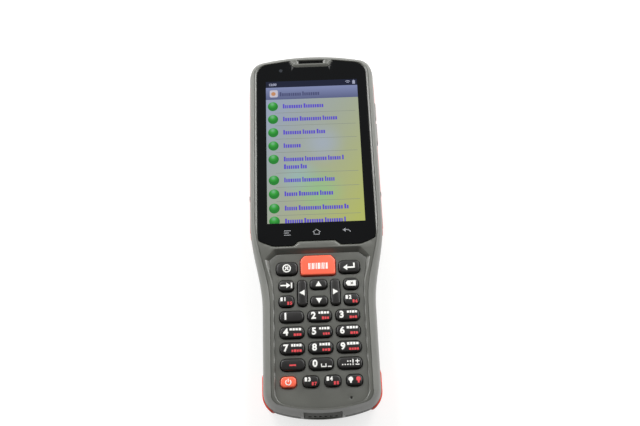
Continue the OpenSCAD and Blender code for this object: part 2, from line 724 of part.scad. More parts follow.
// depth is how far inside the flank the wall ends, where the key's flange lies
module flank_key(y, z, len, h, depth) {
    flank_bar(y, z, len, h, 0, head_h - depth - 1.4, head_h + flank_travel + flank_rest);
    flank_bar(y, z, len, h, 0.6, head_h - depth - 1, head_h - depth);
}
front_depth = wall + 0.8;
rear_depth = wall + 1.8;
module volume_slot(grow) {
    flank_bar(volume_y, flank_key_z, volume_len, flank_key_h, grow, head_h - front_depth - 0.1, head_h + 2);
}
module camera_key_slot(grow) {
    flank_bar(camera_key_y, flank_key_z, camera_key_len, flank_key_h, grow, head_h - front_depth - 0.1, head_h + 2);
}
module volume_key() {
    color(housing_grey) flank_key(volume_y, flank_key_z, volume_len, flank_key_h, front_depth);
}
module camera_key() {
    color(housing_grey) flank_key(camera_key_y, flank_key_z, camera_key_len, flank_key_h, front_depth);
}
module side_scan_slot(s, grow) {
    mirror([s < 0 ? 1 : 0, 0, 0])
        flank_bar(side_scan_y, side_scan_z, side_scan_len, side_scan_h, grow, head_h - rear_depth - 0.1, head_h + 2);
}
module side_scan(s) {
    color(signal_orange)
    mirror([s < 0 ? 1 : 0, 0, 0]) flank_key(side_scan_y, side_scan_z, side_scan_len, side_scan_h, rear_depth);
}

stud_y = waist_top + 18.3;
stud_z = 10;
stud_r = 1.7;
stud_proud = 0.85;
module stud_hole(s) {
    translate([s * head_h, stud_y, stud_z]) rotate([0, 90, 0]) cylinder(r = stud_r + 0.02, h = 6, center = true);
}
module strap_studs() {
    color("#2c2c2c")
    for (s = [-1, 1]) translate([s * (head_h - wall / 2 + stud_proud / 2), stud_y, stud_z])
        rotate([0, 90, 0]) cylinder(r = stud_r, h = wall + stud_proud, center = true);
}

// A bumper wraps a corner: it stands a little proud of the rear skin, and its zone is cut from the wall
bumper_low = 2.6;
bumper_high = part_z - 1.4;
bumper_proud = 0.8;
bumper_depth = 1.5;
bumper_run = 7;
proud_skin = [for (l = rear_skin) [l[0], l[1], thicker(l[2], -bumper_proud)]];
// Plan of a bumper's zone round one corner, from a straight run on the flank to angle a1
module corner_zone(centre, r, a1, run, gap) {
    polygon(concat(
        [[centre[0] + r + 2, centre[1] + run - gap * sign(run)]],
        mid_arc(centre, r + 2, 0, a1 - gap * sign(a1) * 5, 6),
        mid_arc(centre, r - bumper_depth + gap, a1 - gap * sign(a1) * 5, 0, 6),
        [[centre[0] + r - bumper_depth + gap, centre[1] + run - gap * sign(run)]]
    ));
}
module bumper_zone(gap) {
    low = corner_centre(grip_h, -y_end, grip_corner_r, grip_arch_r, -1);
    high = corner_centre(head_h, y_end, head_corner_r, head_arch_r, 1);
    for (s = [0, 1]) mirror([s, 0, 0]) translate([0, 0, bumper_low + gap])
        linear_extrude(bumper_high - bumper_low - 2 * gap) {
            corner_zone(low, grip_corner_r, -70, bumper_run, gap);
            corner_zone(high, head_corner_r, 74, -bumper_run, gap);
        }
}
module bumpers(end) {
    color(signal_orange)
    intersection() {
        lofted(proud_skin);
        bumper_zone(0.05);
        translate([0, end * y_end, 0]) cube([2 * head_w, y_end, 2 * part_z], center = true);
    }
}

// ---------- port at the bottom end ----------
port_z = (glass_z - keypad_drop) / 2 + 3.25;
port_y = -y_end + 1.5;
port_frame_h = port_h + 3.6;
port_frame_w = port_w + 4;
port_depth = 3;
io_board_z = port_z - 2.8;
// Local frame of the port: Y points out of the bottom wall's inside, Z up along the leaning wall
module at_port() {
    translate([0, port_y, port_z]) rotate([-port_tilt, 0, 0]) children();
}
module port_cut() {
    translate([-port_frame_w / 2, -4, -port_frame_h / 2]) cube([port_frame_w, port_depth + 4 + fit, port_frame_h]);
}
port_hinge = -port_h / 2 + port_t / 2;
port_pin_r = 0.45;
module port_frame() {
    color(housing_grey)
    difference() {
        intersection() {
            at_port() translate([-port_frame_w / 2 + fit, -4, -port_frame_h / 2 + fit])
                cube([port_frame_w - 2 * fit, port_depth + 4, port_frame_h - 2 * fit]);
            union() {
                lofted(rear_skin);
                lofted(front_skin);
            }
        }
        at_port() port_hollow();
    }
}
// Seat of the cover, the way to the socket and the bores of the cover's pins
module port_hollow() {
    translate([-port_w / 2 - slip, -4, -port_h / 2 - slip]) cube([port_w + 2 * slip, port_t + 4 + slip, port_h + 2 * slip]);
    translate([-5.4, 0, -1.9]) cube([10.8, port_depth + 1, 4.4]);
    translate([-port_w / 2 - 1.4, port_t / 2, port_hinge])
        rotate([0, 90, 0]) cylinder(r = port_pin_r + 0.05, h = port_w + 2.8);
}
module port_cover() {
    color("#34352f")
    at_port() difference() {
        union() {
            translate([-port_w / 2, 0, port_hinge]) cube([port_w, port_t, port_h / 2 - port_hinge]);
            translate([0, port_t / 2, port_hinge]) rotate([0, 90, 0]) cylinder(r = port_t / 2, h = port_w, center = true);
            translate([0, port_t / 2, port_hinge]) rotate([0, 90, 0]) cylinder(r = port_pin_r, h = port_w + 2.2, center = true);
            translate([-4.2, port_t - eps, -1]) cube([8.4, 1, 2.6]);
        }
        // row of grip dimples
        for (i = [-2.5:2.5]) translate([i * 2.65 - 0.65, -1, -2.2]) cube([1.3, 1.5, 1.3]);
    }
}
socket_size = [9, 3.2, 7.4];      // width, height and depth of the socket's shell
socket_sheet = 0.35;
io_board_w = port_frame_w + 0.6;
io_board_len = 9;
module usb_socket() {
    color("silver")
    translate([0, port_y + port_depth + 0.5, io_board_z + board_t + socket_size[1] / 2 + 0.05])
        rotate([-90, 0, 0]) difference() {
            linear_extrude(socket_size[2]) rounded_rect(socket_size[0], socket_size[1], 1.4);
            translate([0, 0, -1]) linear_extrude(socket_size[2] - 0.4)
                rounded_rect(socket_size[0] - 2 * socket_sheet, socket_size[1] - 2 * socket_sheet, 1.15);
        }
}
module io_board() {
    color("#1d5a3a")
    translate([0, port_y + port_depth + 0.5 + io_board_len / 2, io_board_z])
        linear_extrude(board_t) square([io_board_w, io_board_len], center = true);
}

// ---------- rear camera, flash and loudspeaker ----------
module camera_window() {
    color("#101214")
    translate([camera_place[0], camera_place[1], 0.3]) cylinder(r = 4.6, h = 1.2);
}
module camera_module() {
    color("#202225")
    translate([camera_place[0], camera_place[1], 1.6]) {
        translate([-4.25, -4.25, 0.4]) cube([8.5, 8.5, 4]);
        cylinder(r = 3, h = 0.5);
    }
}
module flash_lens() {
    color("#f4f1dc")
    translate([flash_place[0], flash_place[1], 0.3]) cylinder(r = 2.4, h = 1.4);
}
module loudspeaker() {
    color("#26282b")
    translate([speaker_place[0], speaker_place[1], wall + 0.1]) linear_extrude(3.6) rounded_rect(15, 13, 2.5);
}

front_housing();
rear_housing();
keypad_plate();
display_lens();
display_panel();
display_frame();
earpiece_mesh();
earpiece_speaker();
keypad_board();
key_domes();
main_board();
shield_cans();
scan_engine();
scan_window();
battery();
battery_contacts();
battery_cover();
housing_screws();
side_scan(-1);  // side_scan_left
side_scan(1);  // side_scan_right
volume_key();
camera_key();
strap_studs();
bumpers(1);  // top_bumpers
bumpers(-1);  // bottom_bumpers
port_frame();
port_cover();
usb_socket();
io_board();
camera_window();
camera_module();
flash_lens();
loudspeaker();
for (k = KEYS) key_cap(k);
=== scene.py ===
"""Portable barcode data terminal: its finish and fine pieces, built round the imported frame.

Every size in this file is in millimetres until a mesh is made, and the frame's own sizes are in metres.
The device lies on its back: +X to the right of the display, +Y towards the scan end, +Z out of the glass.
"""

import functools
import math

import bmesh
import bpy
import numpy as np
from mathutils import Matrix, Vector
from mathutils.geometry import delaunay_2d_cdt


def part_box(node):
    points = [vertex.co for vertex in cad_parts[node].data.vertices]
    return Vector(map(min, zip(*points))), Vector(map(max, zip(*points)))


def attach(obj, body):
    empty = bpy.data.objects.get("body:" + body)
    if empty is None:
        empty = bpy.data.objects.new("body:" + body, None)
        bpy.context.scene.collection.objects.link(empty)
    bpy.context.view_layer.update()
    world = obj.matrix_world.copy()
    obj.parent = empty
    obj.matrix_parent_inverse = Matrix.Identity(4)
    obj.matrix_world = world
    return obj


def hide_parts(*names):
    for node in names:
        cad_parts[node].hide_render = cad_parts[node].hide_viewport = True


bl_info = {
    "name": "Barcode data terminal",
    "version": (1, 0, 0),
    "blender": (4, 5, 0),
    "location": "View3D > Sidebar > Terminal",
    "description": "Housings, keys, legends, display picture and finishes of a handheld data terminal",
    "category": "Add Mesh",
}

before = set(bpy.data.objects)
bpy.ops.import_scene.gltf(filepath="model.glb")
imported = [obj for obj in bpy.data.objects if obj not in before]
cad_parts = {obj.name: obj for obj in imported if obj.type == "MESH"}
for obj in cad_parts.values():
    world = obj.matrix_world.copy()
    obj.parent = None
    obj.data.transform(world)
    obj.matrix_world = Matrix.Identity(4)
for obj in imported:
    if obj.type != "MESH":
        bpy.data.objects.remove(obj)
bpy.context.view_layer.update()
MM = 0.001

# ---------- sizes read from the frame ----------


@functools.cache
def node_box(node):
    """Lowest and highest corner of a CAD node, in millimetres. Each node is measured once."""
    low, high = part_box(node)
    return np.array(low) / MM, np.array(high) / MM


def box_middle(node):
    """Middle of a CAD node's box, in millimetres."""
    low, high = node_box(node)
    return (low + high) / 2


def box_span(node):
    """Extent of a CAD node's box along X, Y and Z, in millimetres."""
    low, high = node_box(node)
    return high - low


Y_END = node_box("front_housing")[1][1]
RIM_TOP = node_box("front_housing")[1][2]
GLASS_LOW, GLASS_HIGH = node_box("display_lens")
GLASS_Z = GLASS_HIGH[2]
PLATE_LOW, PLATE_HIGH = node_box("keypad_plate")
PLATE_Z = PLATE_HIGH[2]
KEY_NODES = [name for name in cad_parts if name.startswith("key_") and name != "key_domes"]
# The notch for the earpiece takes the arch's highest point away from the glass, 0.4 above what is left
LENS_TOP = GLASS_HIGH[1] + 0.4
# Clearance round the glass and the keypad plate, and how much wider the plate is beside the scan key
FIT = 0.15
PLATE_FLARE = 2.6
PLATE_HALF = PLATE_HIGH[0] + FIT - PLATE_FLARE
PLATE_TOP = PLATE_HIGH[1] + FIT
PLATE_FOOT = PLATE_LOW[1] - FIT


# ---------- driving values ----------


def linear(hex_colour):
    """Linear RGB of an sRGB hex value."""
    levels = [int(hex_colour[i:i + 2], 16) / 255 for i in (1, 3, 5)]
    return [v / 12.92 if v <= 0.04045 else ((v + 0.055) / 1.055) ** 2.4 for v in levels]


def length_property(name, description, size_mm):
    """A length in metres with its default given in millimetres."""
    return bpy.props.FloatProperty(
        name=name, description=description, default=size_mm * MM, unit="LENGTH", precision=5)


def colour_property(name, description, hex_colour):
    """A colour whose default is an sRGB hex value."""
    return bpy.props.FloatVectorProperty(
        name=name, description=description, default=linear(hex_colour), subtype="COLOR", size=3, min=0, max=1)


class TerminalSizes(bpy.types.PropertyGroup):
    """Sizes of the two moulded housings and of the caps."""
    head_width: length_property("Head width", "Width across the head", 71.5)
    grip_width: length_property("Grip width", "Width across the grip", 59.6)
    waist_start: length_property("Waist start", "Where the head starts to narrow, from the bottom end", 102.5)
    waist_length: length_property("Waist length", "Length over which the head narrows", 46.5)
    parting_height: length_property("Parting height", "Height of the joint between the housings", 13.4)
    wall: length_property("Wall", "Thickness of the moulded walls", 1.8)
    groove_depth: length_property("Trim groove", "Depth of the groove round the front face", 0.3)
    land_rise: length_property("Land", "Height of the land above the keypad plate", 0.64)
    cap_shoulder: length_property("Cap shoulder", "Radius of a key cap's shoulder", 0.75)
    cap_crown: length_property("Cap crown", "How far a key cap's top is crowned", 0.25)
    legend_rise: length_property("Legend rise", "How far a printed legend lies above its cap", 0.03)


class TerminalColours(bpy.types.PropertyGroup):
    """Colours of the finishes."""
    housing: colour_property("Front housing", "Grey of the front housing", "#5f605a")
    rear: colour_property("Rear housing", "Darker grey of the rear housing", "#484944")
    key: colour_property("Keys", "Black of the key caps", "#201f1e")
    signal: colour_property("Scan keys", "Orange of the scan and power keys", "#ff6a4d")
    bumper: colour_property("Bumpers", "Orange red of the soft bumpers", "#e8503a")
    glass: colour_property("Glass", "Black print behind the cover glass", "#0c0d0e")
    legend: colour_property("Legends", "White of the printed legends", "#f1f1ec")
    second_legend: colour_property("Second legends", "Red of the second legends", "#e8484e")
    text: colour_property("Picture text", "Violet of the picture's text rows", "#5d4fc4")


def sizes():
    """The sizes in millimetres, by name."""
    group = bpy.context.scene.terminal_sizes
    return {name: getattr(group, name) / MM for name in TerminalSizes.__annotations__}


def tint(source):
    """Linear colour with full alpha, from an sRGB hex value or the name of one of the panel's colours."""
    chosen = linear(source) if source.startswith("#") else getattr(bpy.context.scene.terminal_colours, source)
    return [*chosen, 1]


# ---------- curves in the plane ----------


def ease(t):
    """0 to 1 along half a cosine wave, flat at both ends."""
    return (1 - np.cos(np.pi * np.clip(t, 0, 1))) / 2


def arc(centre, radius, start, end, steps):
    """Points on a circle from one angle to another."""
    angle = np.linspace(start, end, steps + 1)
    return np.array(centre) + radius * np.stack([np.cos(angle), np.sin(angle)], 1)


def soft_corners(points, shares, steps):
    """A polyline whose inner corners are rounded: each becomes a quadratic curve that starts and ends on the
    neighbouring segments, at the given share of half their length. It works in any number of dimensions, and
    so it rounds the levels of a skin too."""
    points = np.asarray(points, float)
    out = [points[:1]]
    t = np.linspace(0, 1, steps + 1)[:, None]
    for before, corner, after, share in zip(points, points[1:], points[2:], shares):
        start = corner + (before - corner) * share / 2
        end = corner + (after - corner) * share / 2
        out.append((1 - t) ** 2 * start + 2 * t * (1 - t) * corner + t ** 2 * end)
    return np.concatenate([*out, points[-1:]])


def mirrored(side):
    """A closed outline from its right half, whose ends may lie on the middle line."""
    left = side[::-1] * [-1, 1]
    if abs(side[-1][0]) < 1e-6:
        left = left[1:]
    if abs(side[0][0]) < 1e-6:
        left = left[:-1]
    return np.concatenate([side, left])


def corner_centre(half, end, radius, arch, sign):
    """Centre of the corner circle that touches a side at x = half and an end arch."""
    drop = math.sqrt((arch - radius) ** 2 - (half - radius) ** 2)
    return np.array([half - radius, end - sign * arch + sign * drop])


def outward(loop):
    """Unit normals of a counter-clockwise loop, from the directions of its two neighbouring edges."""
    ahead = np.roll(loop, -1, 0) - loop
    behind = loop - np.roll(loop, 1, 0)
    unit = [v / np.maximum(np.linalg.norm(v, axis=1, keepdims=True), 1e-9) for v in (ahead, behind)]
    tangent = unit[0] + unit[1]
    tangent /= np.maximum(np.linalg.norm(tangent, axis=1, keepdims=True), 1e-9)
    return np.stack([tangent[:, 1], -tangent[:, 0]], 1)


def at_height(outline, z):
    """Points in space from points in the plane, all at one height."""
    return np.column_stack([outline, np.full(len(outline), z)])


def rounded_polygon(points, radii, steps=8):
    """A convex counter-clockwise polygon whose corners are arcs of the given radii."""
    points = np.asarray(points, float)
    out = []
    for before, corner, after, radius in zip(np.roll(points, 1, 0), points, np.roll(points, -1, 0), radii):
        back = (before - corner) / np.linalg.norm(before - corner)
        forth = (after - corner) / np.linalg.norm(after - corner)
        half = math.acos(np.clip(back @ forth, -1, 1)) / 2
        centre = corner + (back + forth) / np.linalg.norm(back + forth) * radius / math.sin(half)
        start = math.atan2(*(corner + back * radius / math.tan(half) - centre)[::-1])
        out.append(arc(centre, radius, start, start + math.pi - 2 * half, steps))
    return np.concatenate(out)


def rounded_rect(width, height, radius, steps=8):
    """A rectangle round the origin with arcs for corners."""
    x, y = width / 2, height / 2
    return rounded_polygon([[-x, -y], [x, -y], [x, y], [-x, y]], [radius] * 4, steps)


def opening(node, clearance, radius, steps=8, shift=(0, 0)):
    """Outline of an opening round a CAD node, from its box seen along Z."""
    outline = rounded_rect(*(box_span(node)[:2] + clearance), radius, steps)
    return outline + (box_middle(node)[:2] + shift)


# ---------- outlines of the body ----------
# Radii of the corners and of the end arches, and the steps that each part of the outline is drawn in
HEAD_CORNER_R, GRIP_CORNER_R = 9.5, 10.0
HEAD_ARCH_R, GRIP_ARCH_R = 130.0, 75.0
ARCH_STEPS, CORNER_STEPS, WAIST_STEPS = 22, 16, 66
# The face falls over this length from the crease, and its land ends low over a short run at the bottom end
KEYPAD_FALL_LENGTH = 28.0
LAND_END_RISE, LAND_END_RUN = 0.06, 9.0
CREASE_START = GLASS_LOW[1] + 3.8
# Skins as levels: height, share of the front face's fall, insets of head, grip, scan end and bottom end
REAR_LEVELS = [
    [0, 0, 7, 7.5, 4.5, 4.5],
    [1.2, 0, 4.4, 5, 2.4, 2.6],
    [4.5, 0, 1.3, 1.9, 0.6, 0.6],
    [9, 0, 0.15, 0.25, 0, 0],
    [13.4, 0, 0, 0, 0, 0.35],
]
FRONT_LEVELS = [
    [13.4, 0, 0, 0, 0, 0.35],
    [18, 0.2, 0, 0.5, 0, 1.4],
    [21.5, 0.5, 0.35, 1.6, 0.05, 2.2],
    [24.6, 0.9, 1.4, 3.3, 0.3, 2.7],
    [26.3, 1, 2.9, 4.5, 2.7, 3.1],
]


def waist_x(y, head, grip, s):
    """Half width at y: the grip's, then half a cosine wave up to the head's."""
    start = s["waist_start"] - Y_END
    return grip + (head - grip) * ease((y - start + s["waist_length"]) / s["waist_length"])


def body_outline(inset, s):
    """The body's outline, inset by [head, grip, scan end, bottom end]: two end arches, four corners and two
    waists."""
    head = s["head_width"] / 2 - inset[0]
    grip = s["grip_width"] / 2 - inset[1]
    top, low = Y_END - inset[2], -Y_END + inset[3]
    head_r = HEAD_CORNER_R - min(inset[0], HEAD_CORNER_R - 2)
    grip_r = GRIP_CORNER_R - min(inset[1], GRIP_CORNER_R - 2)
    upper = corner_centre(head, top, head_r, HEAD_ARCH_R, 1)
    lower = corner_centre(grip, low, grip_r, GRIP_ARCH_R, -1)
    upper_angle = math.atan2(upper[1] - top + HEAD_ARCH_R, upper[0])
    lower_angle = math.atan2(lower[1] - low - GRIP_ARCH_R, lower[0])
    reach = s["waist_start"] - Y_END + 4
    waist_y = lower[1] + (reach - lower[1]) * np.linspace(0, 1, WAIST_STEPS + 1) ** 0.85
    side = np.concatenate([
        arc([0, low + GRIP_ARCH_R], GRIP_ARCH_R, -math.pi / 2, lower_angle, ARCH_STEPS)[:-1],
        arc(lower, grip_r, lower_angle, 0, CORNER_STEPS)[:-1],
        np.stack([waist_x(waist_y, head, grip, s), waist_y], 1),
        arc(upper, head_r, 0, upper_angle, CORNER_STEPS)[:-1],
        arc([0, top - HEAD_ARCH_R], HEAD_ARCH_R, upper_angle, math.pi / 2, ARCH_STEPS),
    ])
    return mirrored(side)


def fall(y, s):
    """How far the front face lies below the rim at y: it falls towards the keypad along half a cosine wave,
    and its land sinks to the plate over the last few millimetres before the bottom end."""
    land = LAND_END_RISE + s["land_rise"] * ease((y - PLATE_FOOT) / LAND_END_RUN)
    return (RIM_TOP - PLATE_Z - land) * ease((CREASE_START - y) / KEYPAD_FALL_LENGTH)


def ring(level, s):
    """Points of one level of a skin."""
    outline = body_outline(level[2:], s)
    return np.column_stack([outline, level[0] - level[1] * fall(outline[:, 1], s)])


def inset_at(levels, z):
    """The four insets of a skin at height z, between its levels."""
    levels = np.asarray(levels, float)
    return np.array([np.interp(z, levels[:, 0], levels[:, i]) for i in range(2, 6)])


# ---------- meshes ----------


class Shell:
    """Points and faces gathered loop by loop. A loop is an array of point indices."""

    def __init__(self):
        self.points = []
        self.faces = []
        self.count = 0

    def loop(self, points):
        """Adds a loop of points and returns its indices."""
        points = np.asarray(points, float)
        self.points.append(points)
        self.count += len(points)
        return np.arange(self.count - len(points), self.count)

    def bridge(self, low, high, closed=True):
        """Quads between two loops of one length; they face outwards when the loops run counter-clockwise."""
        ahead_low, ahead_high = np.roll(low, -1), np.roll(high, -1)
        quads = np.stack([low, ahead_low, ahead_high, high], 1)
        self.faces.extend((quads if closed else quads[:-1]).tolist())

    def stack(self, rings):
        """Loops joined one to the next: rising ones face outwards, and ones that lead inwards and down face
        into their recess. Returns the first and the last."""
        loops = [self.loop(r) for r in rings]
        for low, high in zip(loops, loops[1:]):
            self.bridge(low, high)
        return loops[0], loops[-1]

    def sink(self, rings):
        """A recess with a closed floor. Returns its edge."""
        edge, floor = self.stack(rings)
        self.fill([floor])
        return edge

    def all_points(self):
        """Every point so far, in one array."""
        return np.concatenate(self.points)

    def mesh(self, name):
        """A mesh object of all points and faces."""
        return make_mesh(name, self.all_points(), self.faces)

    def fan(self, loop, centre, up=True):
        """Triangles from a loop to one point."""
        tip = self.loop([centre])[0]
        ahead = np.roll(loop, -1)
        tips = np.full(len(loop), tip)
        triangles = np.stack([loop, ahead, tips] if up else [ahead, loop, tips], 1)
        self.faces.extend(triangles.tolist())

    def fill(self, loops, height=None, spacing=0, up=True):
        """Triangles inside the first loop and outside the others, by constrained Delaunay triangulation.
        height gives z from x and y for the points added inside, on a grid of the given spacing."""
        points = self.all_points()
        index = np.concatenate(loops)
        flat = points[index][:, :2]
        edges = []
        start = 0
        for loop in loops:
            own = np.arange(start, start + len(loop))
            edges.extend(np.stack([own, np.roll(own, -1)], 1).tolist())
            start += len(loop)
        outlines = [points[loop][:, :2] for loop in loops]
        if spacing:
            extra = inner_grid(outlines, spacing)
            added = self.loop(np.column_stack([extra, height(extra[:, 0], extra[:, 1])]))
            index = np.concatenate([index, added])
            flat = np.concatenate([flat, extra])
        places, _, triangles, origin, _, _ = delaunay_2d_cdt(flat.tolist(), edges, [], 0, 1e-7)
        places = np.array([list(p) for p in places])
        triangles = np.array(triangles)
        keep = between(places[triangles].mean(1), outlines)
        if len(places) != len(flat):
            lone = [np.round(p, 2).tolist() for p, o in zip(places, origin) if not o]
            raise ValueError(f"outlines cross or touch near {lone[:6]}")
        own = np.array([index[o[0]] for o in origin])
        triangles = own[triangles[keep]]
        self.faces.extend((triangles if up else triangles[:, ::-1]).tolist())


def between(points, outlines):
    """Which points lie inside the first outline and outside the others."""
    keep = inside(points, outlines[0])
    for hole in outlines[1:]:
        keep &= ~inside(points, hole)
    return keep


def inside(points, outline):
    """Which points lie inside a closed outline, by counting the edges that a ray crosses."""
    x, y = points[:, :1], points[:, 1:]
    ax, ay = outline[:, 0], outline[:, 1]
    bx, by = np.roll(ax, -1), np.roll(ay, -1)
    spans = (ay <= y) != (by <= y)
    rise = np.where(np.abs(by - ay) < 1e-12, 1e-12, by - ay)
    crosses = spans & (x < ax + (y - ay) * (bx - ax) / rise)
    return crosses.sum(1) % 2 == 1


def inner_grid(outlines, spacing):
    """Grid points inside the first outline and outside the others, kept clear of every edge."""
    low, high = outlines[0].min(0), outlines[0].max(0)
    x, y = np.meshgrid(np.arange(low[0], high[0], spacing), np.arange(low[1], high[1], spacing))
    grid = np.column_stack([x.ravel(), y.ravel()])
    grid = grid[between(grid, outlines)]
    edge_points = np.concatenate(outlines)
    nearest = np.full(len(grid), np.inf)
    for part in np.array_split(edge_points, max(1, len(edge_points) // 200)):
        gaps = np.linalg.norm(grid[:, None] - part[None], axis=2).min(1)
        nearest = np.minimum(nearest, gaps)
    return grid[nearest > spacing * 0.6]


def points_and_faces(mesh):
    """A mesh's points in the plane and its faces."""
    points = np.array([list(v.co) for v in mesh.vertices])
    return points[:, :2], [list(face.vertices) for face in mesh.polygons]


def make_mesh(name, points, faces, uv=None):
    """A mesh object from points in millimetres. uv gives one pair of numbers for each point."""
    mesh = bpy.data.meshes.new(name)
    mesh.from_pydata((np.asarray(points) * MM).tolist(), [], faces)
    if uv is not None:
        corner_points = np.empty(len(mesh.loops), np.int32)
        mesh.loops.foreach_get("vertex_index", corner_points)
        layer = mesh.uv_layers.new(name="face_place")
        layer.data.foreach_set("uv", np.asarray(uv, np.float32)[corner_points].ravel())
    mesh.validate()
    mesh.update()
    piece = bpy.data.objects.new(name, mesh)
    bpy.context.scene.collection.objects.link(piece)
    return piece


def shade(piece, sharp_degrees=32):
    """Smooth shading, with edges sharper than the angle kept sharp."""
    piece.data.shade_smooth()
    piece.data.set_sharp_from_angle(angle=math.radians(sharp_degrees))


def finish(piece, finish_name, body="root", replaces=()):
    """Gives a piece its material, lets it ride on a body and stand for its CAD nodes."""
    piece.data.materials.clear()
    piece.data.materials.append(material(finish_name))
    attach(piece, body)
    if replaces:
        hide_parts(*replaces)


def cut(piece, cutters):
    """Subtracts closed meshes from a piece with exact booleans, and removes the cutters."""
    for cutter in cutters:
        modifier = piece.modifiers.new("cut", "BOOLEAN")
        modifier.operation = "DIFFERENCE"
        modifier.solver = "EXACT"
        modifier.object = cutter
    bpy.context.view_layer.update()
    evaluated = piece.evaluated_get(bpy.context.evaluated_depsgraph_get())
    mesh = bpy.data.meshes.new_from_object(evaluated)
    piece.modifiers.clear()
    old = piece.data
    piece.data = mesh
    bpy.data.meshes.remove(old)
    for cutter in cutters:
        old = cutter.data
        bpy.data.objects.remove(cutter)
        bpy.data.meshes.remove(old)


def prism(outline, low, high, axis="z"):
    """A closed cutter: an outline carried from one height to another along an axis."""
    outline = np.asarray(outline, float)
    shell = Shell()
    first, last = shell.stack([at_height(outline, z) for z in (low, high)])
    faces = shell.faces + [first[::-1].tolist(), last.tolist()]
    points = shell.all_points()
    if axis == "x":
        points = points[:, [2, 0, 1]]
    if axis == "y":
        points = points[:, [1, 2, 0]]
    return make_mesh("cutter", points, faces)


def loft_cutter(levels, s):
    """A closed cutter through the levels of a hollow."""
    shell = Shell()
    first, last = shell.stack([ring(level, s) for level in levels])
    shell.fill([first], up=False)
    shell.fill([last])
    return shell.mesh("cutter")


# ---------- materials ----------


def add_node(tree, kind, inputs=None, **settings):
    """Adds a node, sets its settings, and sets or links its inputs. A node given as an input links by its
    first output."""
    node = tree.nodes.new(kind)
    for name, value in settings.items():
        setattr(node, name, value)
    for name, value in (inputs or {}).items():
        if isinstance(value, bpy.types.Node):
            value = value.outputs[0]
        if isinstance(value, bpy.types.NodeSocket):
            tree.links.new(value, node.inputs[name])
        else:
            node.inputs[name].default_value = value
    return node


def new_material(name):
    """An empty material with its node tree and its object coordinates."""
    material = bpy.data.materials.new(name)
    material.use_nodes = True
    tree = material.node_tree
    tree.nodes.clear()
    place = add_node(tree, "ShaderNodeTexCoord").outputs["Object"]
    return material, tree, place


def output(tree, shader):
    """Makes a shader the material's surface."""
    add_node(tree, "ShaderNodeOutputMaterial", {"Surface": shader})


def calculate(tree, operation, first, second):
    """Two values brought together by an operation, such as their product."""
    return add_node(tree, "ShaderNodeMath", {0: first, 1: second}, operation=operation)


def ranged(tree, value, start, end, low, high, kind="SMOOTHSTEP"):
    """A value between start and end brought to low and high, easing into both unless kind is LINEAR."""
    return add_node(tree, "ShaderNodeMapRange", {
        "Value": value, "From Min": start, "From Max": end, "To Min": low, "To Max": high},
        interpolation_type=kind)


def distance(tree, place, offset):
    """How far a place, moved by an offset, lies from the origin."""
    moved_place = add_node(tree, "ShaderNodeVectorMath", {0: place, 1: offset}, operation="ADD")
    return add_node(tree, "ShaderNodeVectorMath", {0: moved_place}, operation="LENGTH").outputs["Value"]


def mixed(tree, share, first, second):
    """Two colours mixed: all of the second at a share of 1."""
    node = add_node(tree, "ShaderNodeMix", {"Factor": share, 6: first, 7: second}, data_type="RGBA")
    return node.outputs[2]


def spread(tree, noise, low, high):
    """A noise brought to low and high: what lies past 0.15 and 0.85 stays at the ends."""
    return ranged(tree, noise, 0.15, 0.85, low, high)


# Size of the soft patches, and how far they change the roughness
PATCH_MM = 22
GLOSS_CHANGE = 0.05


def moulded(name, source, roughness, grain_mm, grain_depth_mm, shade_change=0.12, specular=0.5, metallic=0.0):
    """A moulded or coated surface: a fine grain in its height, soft patches in its gloss and in its colour.

    The patches change the roughness by GLOSS_CHANGE either way. On a finish of 0.28 they show as faint
    outlines when a render is denoised, and on one of 0.335 they don't, so no finish spreads across 0.274.
    """
    material, tree, place = new_material(name)
    grain = add_node(tree, "ShaderNodeTexNoise", {
        "Vector": place, "Scale": 1 / (grain_mm * MM), "Detail": 3.0, "Roughness": 0.6})
    patch = add_node(tree, "ShaderNodeTexNoise", {
        "Vector": place, "Scale": 1 / (PATCH_MM * MM), "Detail": 4.0, "Roughness": 0.55})
    tone = spread(tree, patch, 1 - shade_change, 1 + shade_change)
    dots = spread(tree, grain, 1 - shade_change / 2, 1 + shade_change / 2)
    both = calculate(tree, "MULTIPLY", tone, dots)
    tinted = add_node(tree, "ShaderNodeVectorMath", {0: tint(source)[:3], "Scale": both}, operation="SCALE")
    gloss = spread(tree, patch, roughness - GLOSS_CHANGE, roughness + GLOSS_CHANGE)
    relief = add_node(tree, "ShaderNodeBump", {
        "Height": grain, "Distance": grain_depth_mm * MM, "Strength": 1.0})
    shader = add_node(tree, "ShaderNodeBsdfPrincipled", {
        "Base Color": tinted, "Roughness": gloss, "Normal": relief, "Specular IOR Level": specular,
        "Metallic": metallic})
    output(tree, shader)
    return material


def lit(name, paint):
    """Light from the display panel, under the gloss of the cover glass. paint is one colour, or a function
    that draws it from the node tree and the object coordinates."""
    material, tree, place = new_material(name)
    shader = add_node(tree, "ShaderNodeBsdfPrincipled", {
        "Base Color": [0, 0, 0, 1], "Roughness": 0.06, "Specular IOR Level": 0.15,
        "Emission Color": paint(tree, place) if callable(paint) else tint(paint), "Emission Strength": 1.0})
    output(tree, shader)
    return material


def gradient(tree, share, first, last, between):
    """A colour ramp. Each stop is a position and an sRGB hex value."""
    node = add_node(tree, "ShaderNodeValToRGB", {"Fac": share})
    elements = node.color_ramp.elements
    for element, (position, hex_colour) in zip(elements, (first, last)):
        element.position = position
        element.color = tint(hex_colour)
    elements.new(between[0]).color = tint(between[1])
    return node.outputs[0]


def along(tree, value, start_mm, end_mm, reach=1.0):
    """0 at one place of an axis to reach at another, evenly, in millimetres."""
    return ranged(tree, value, start_mm * MM, end_mm * MM, 0.0, reach, "LINEAR")


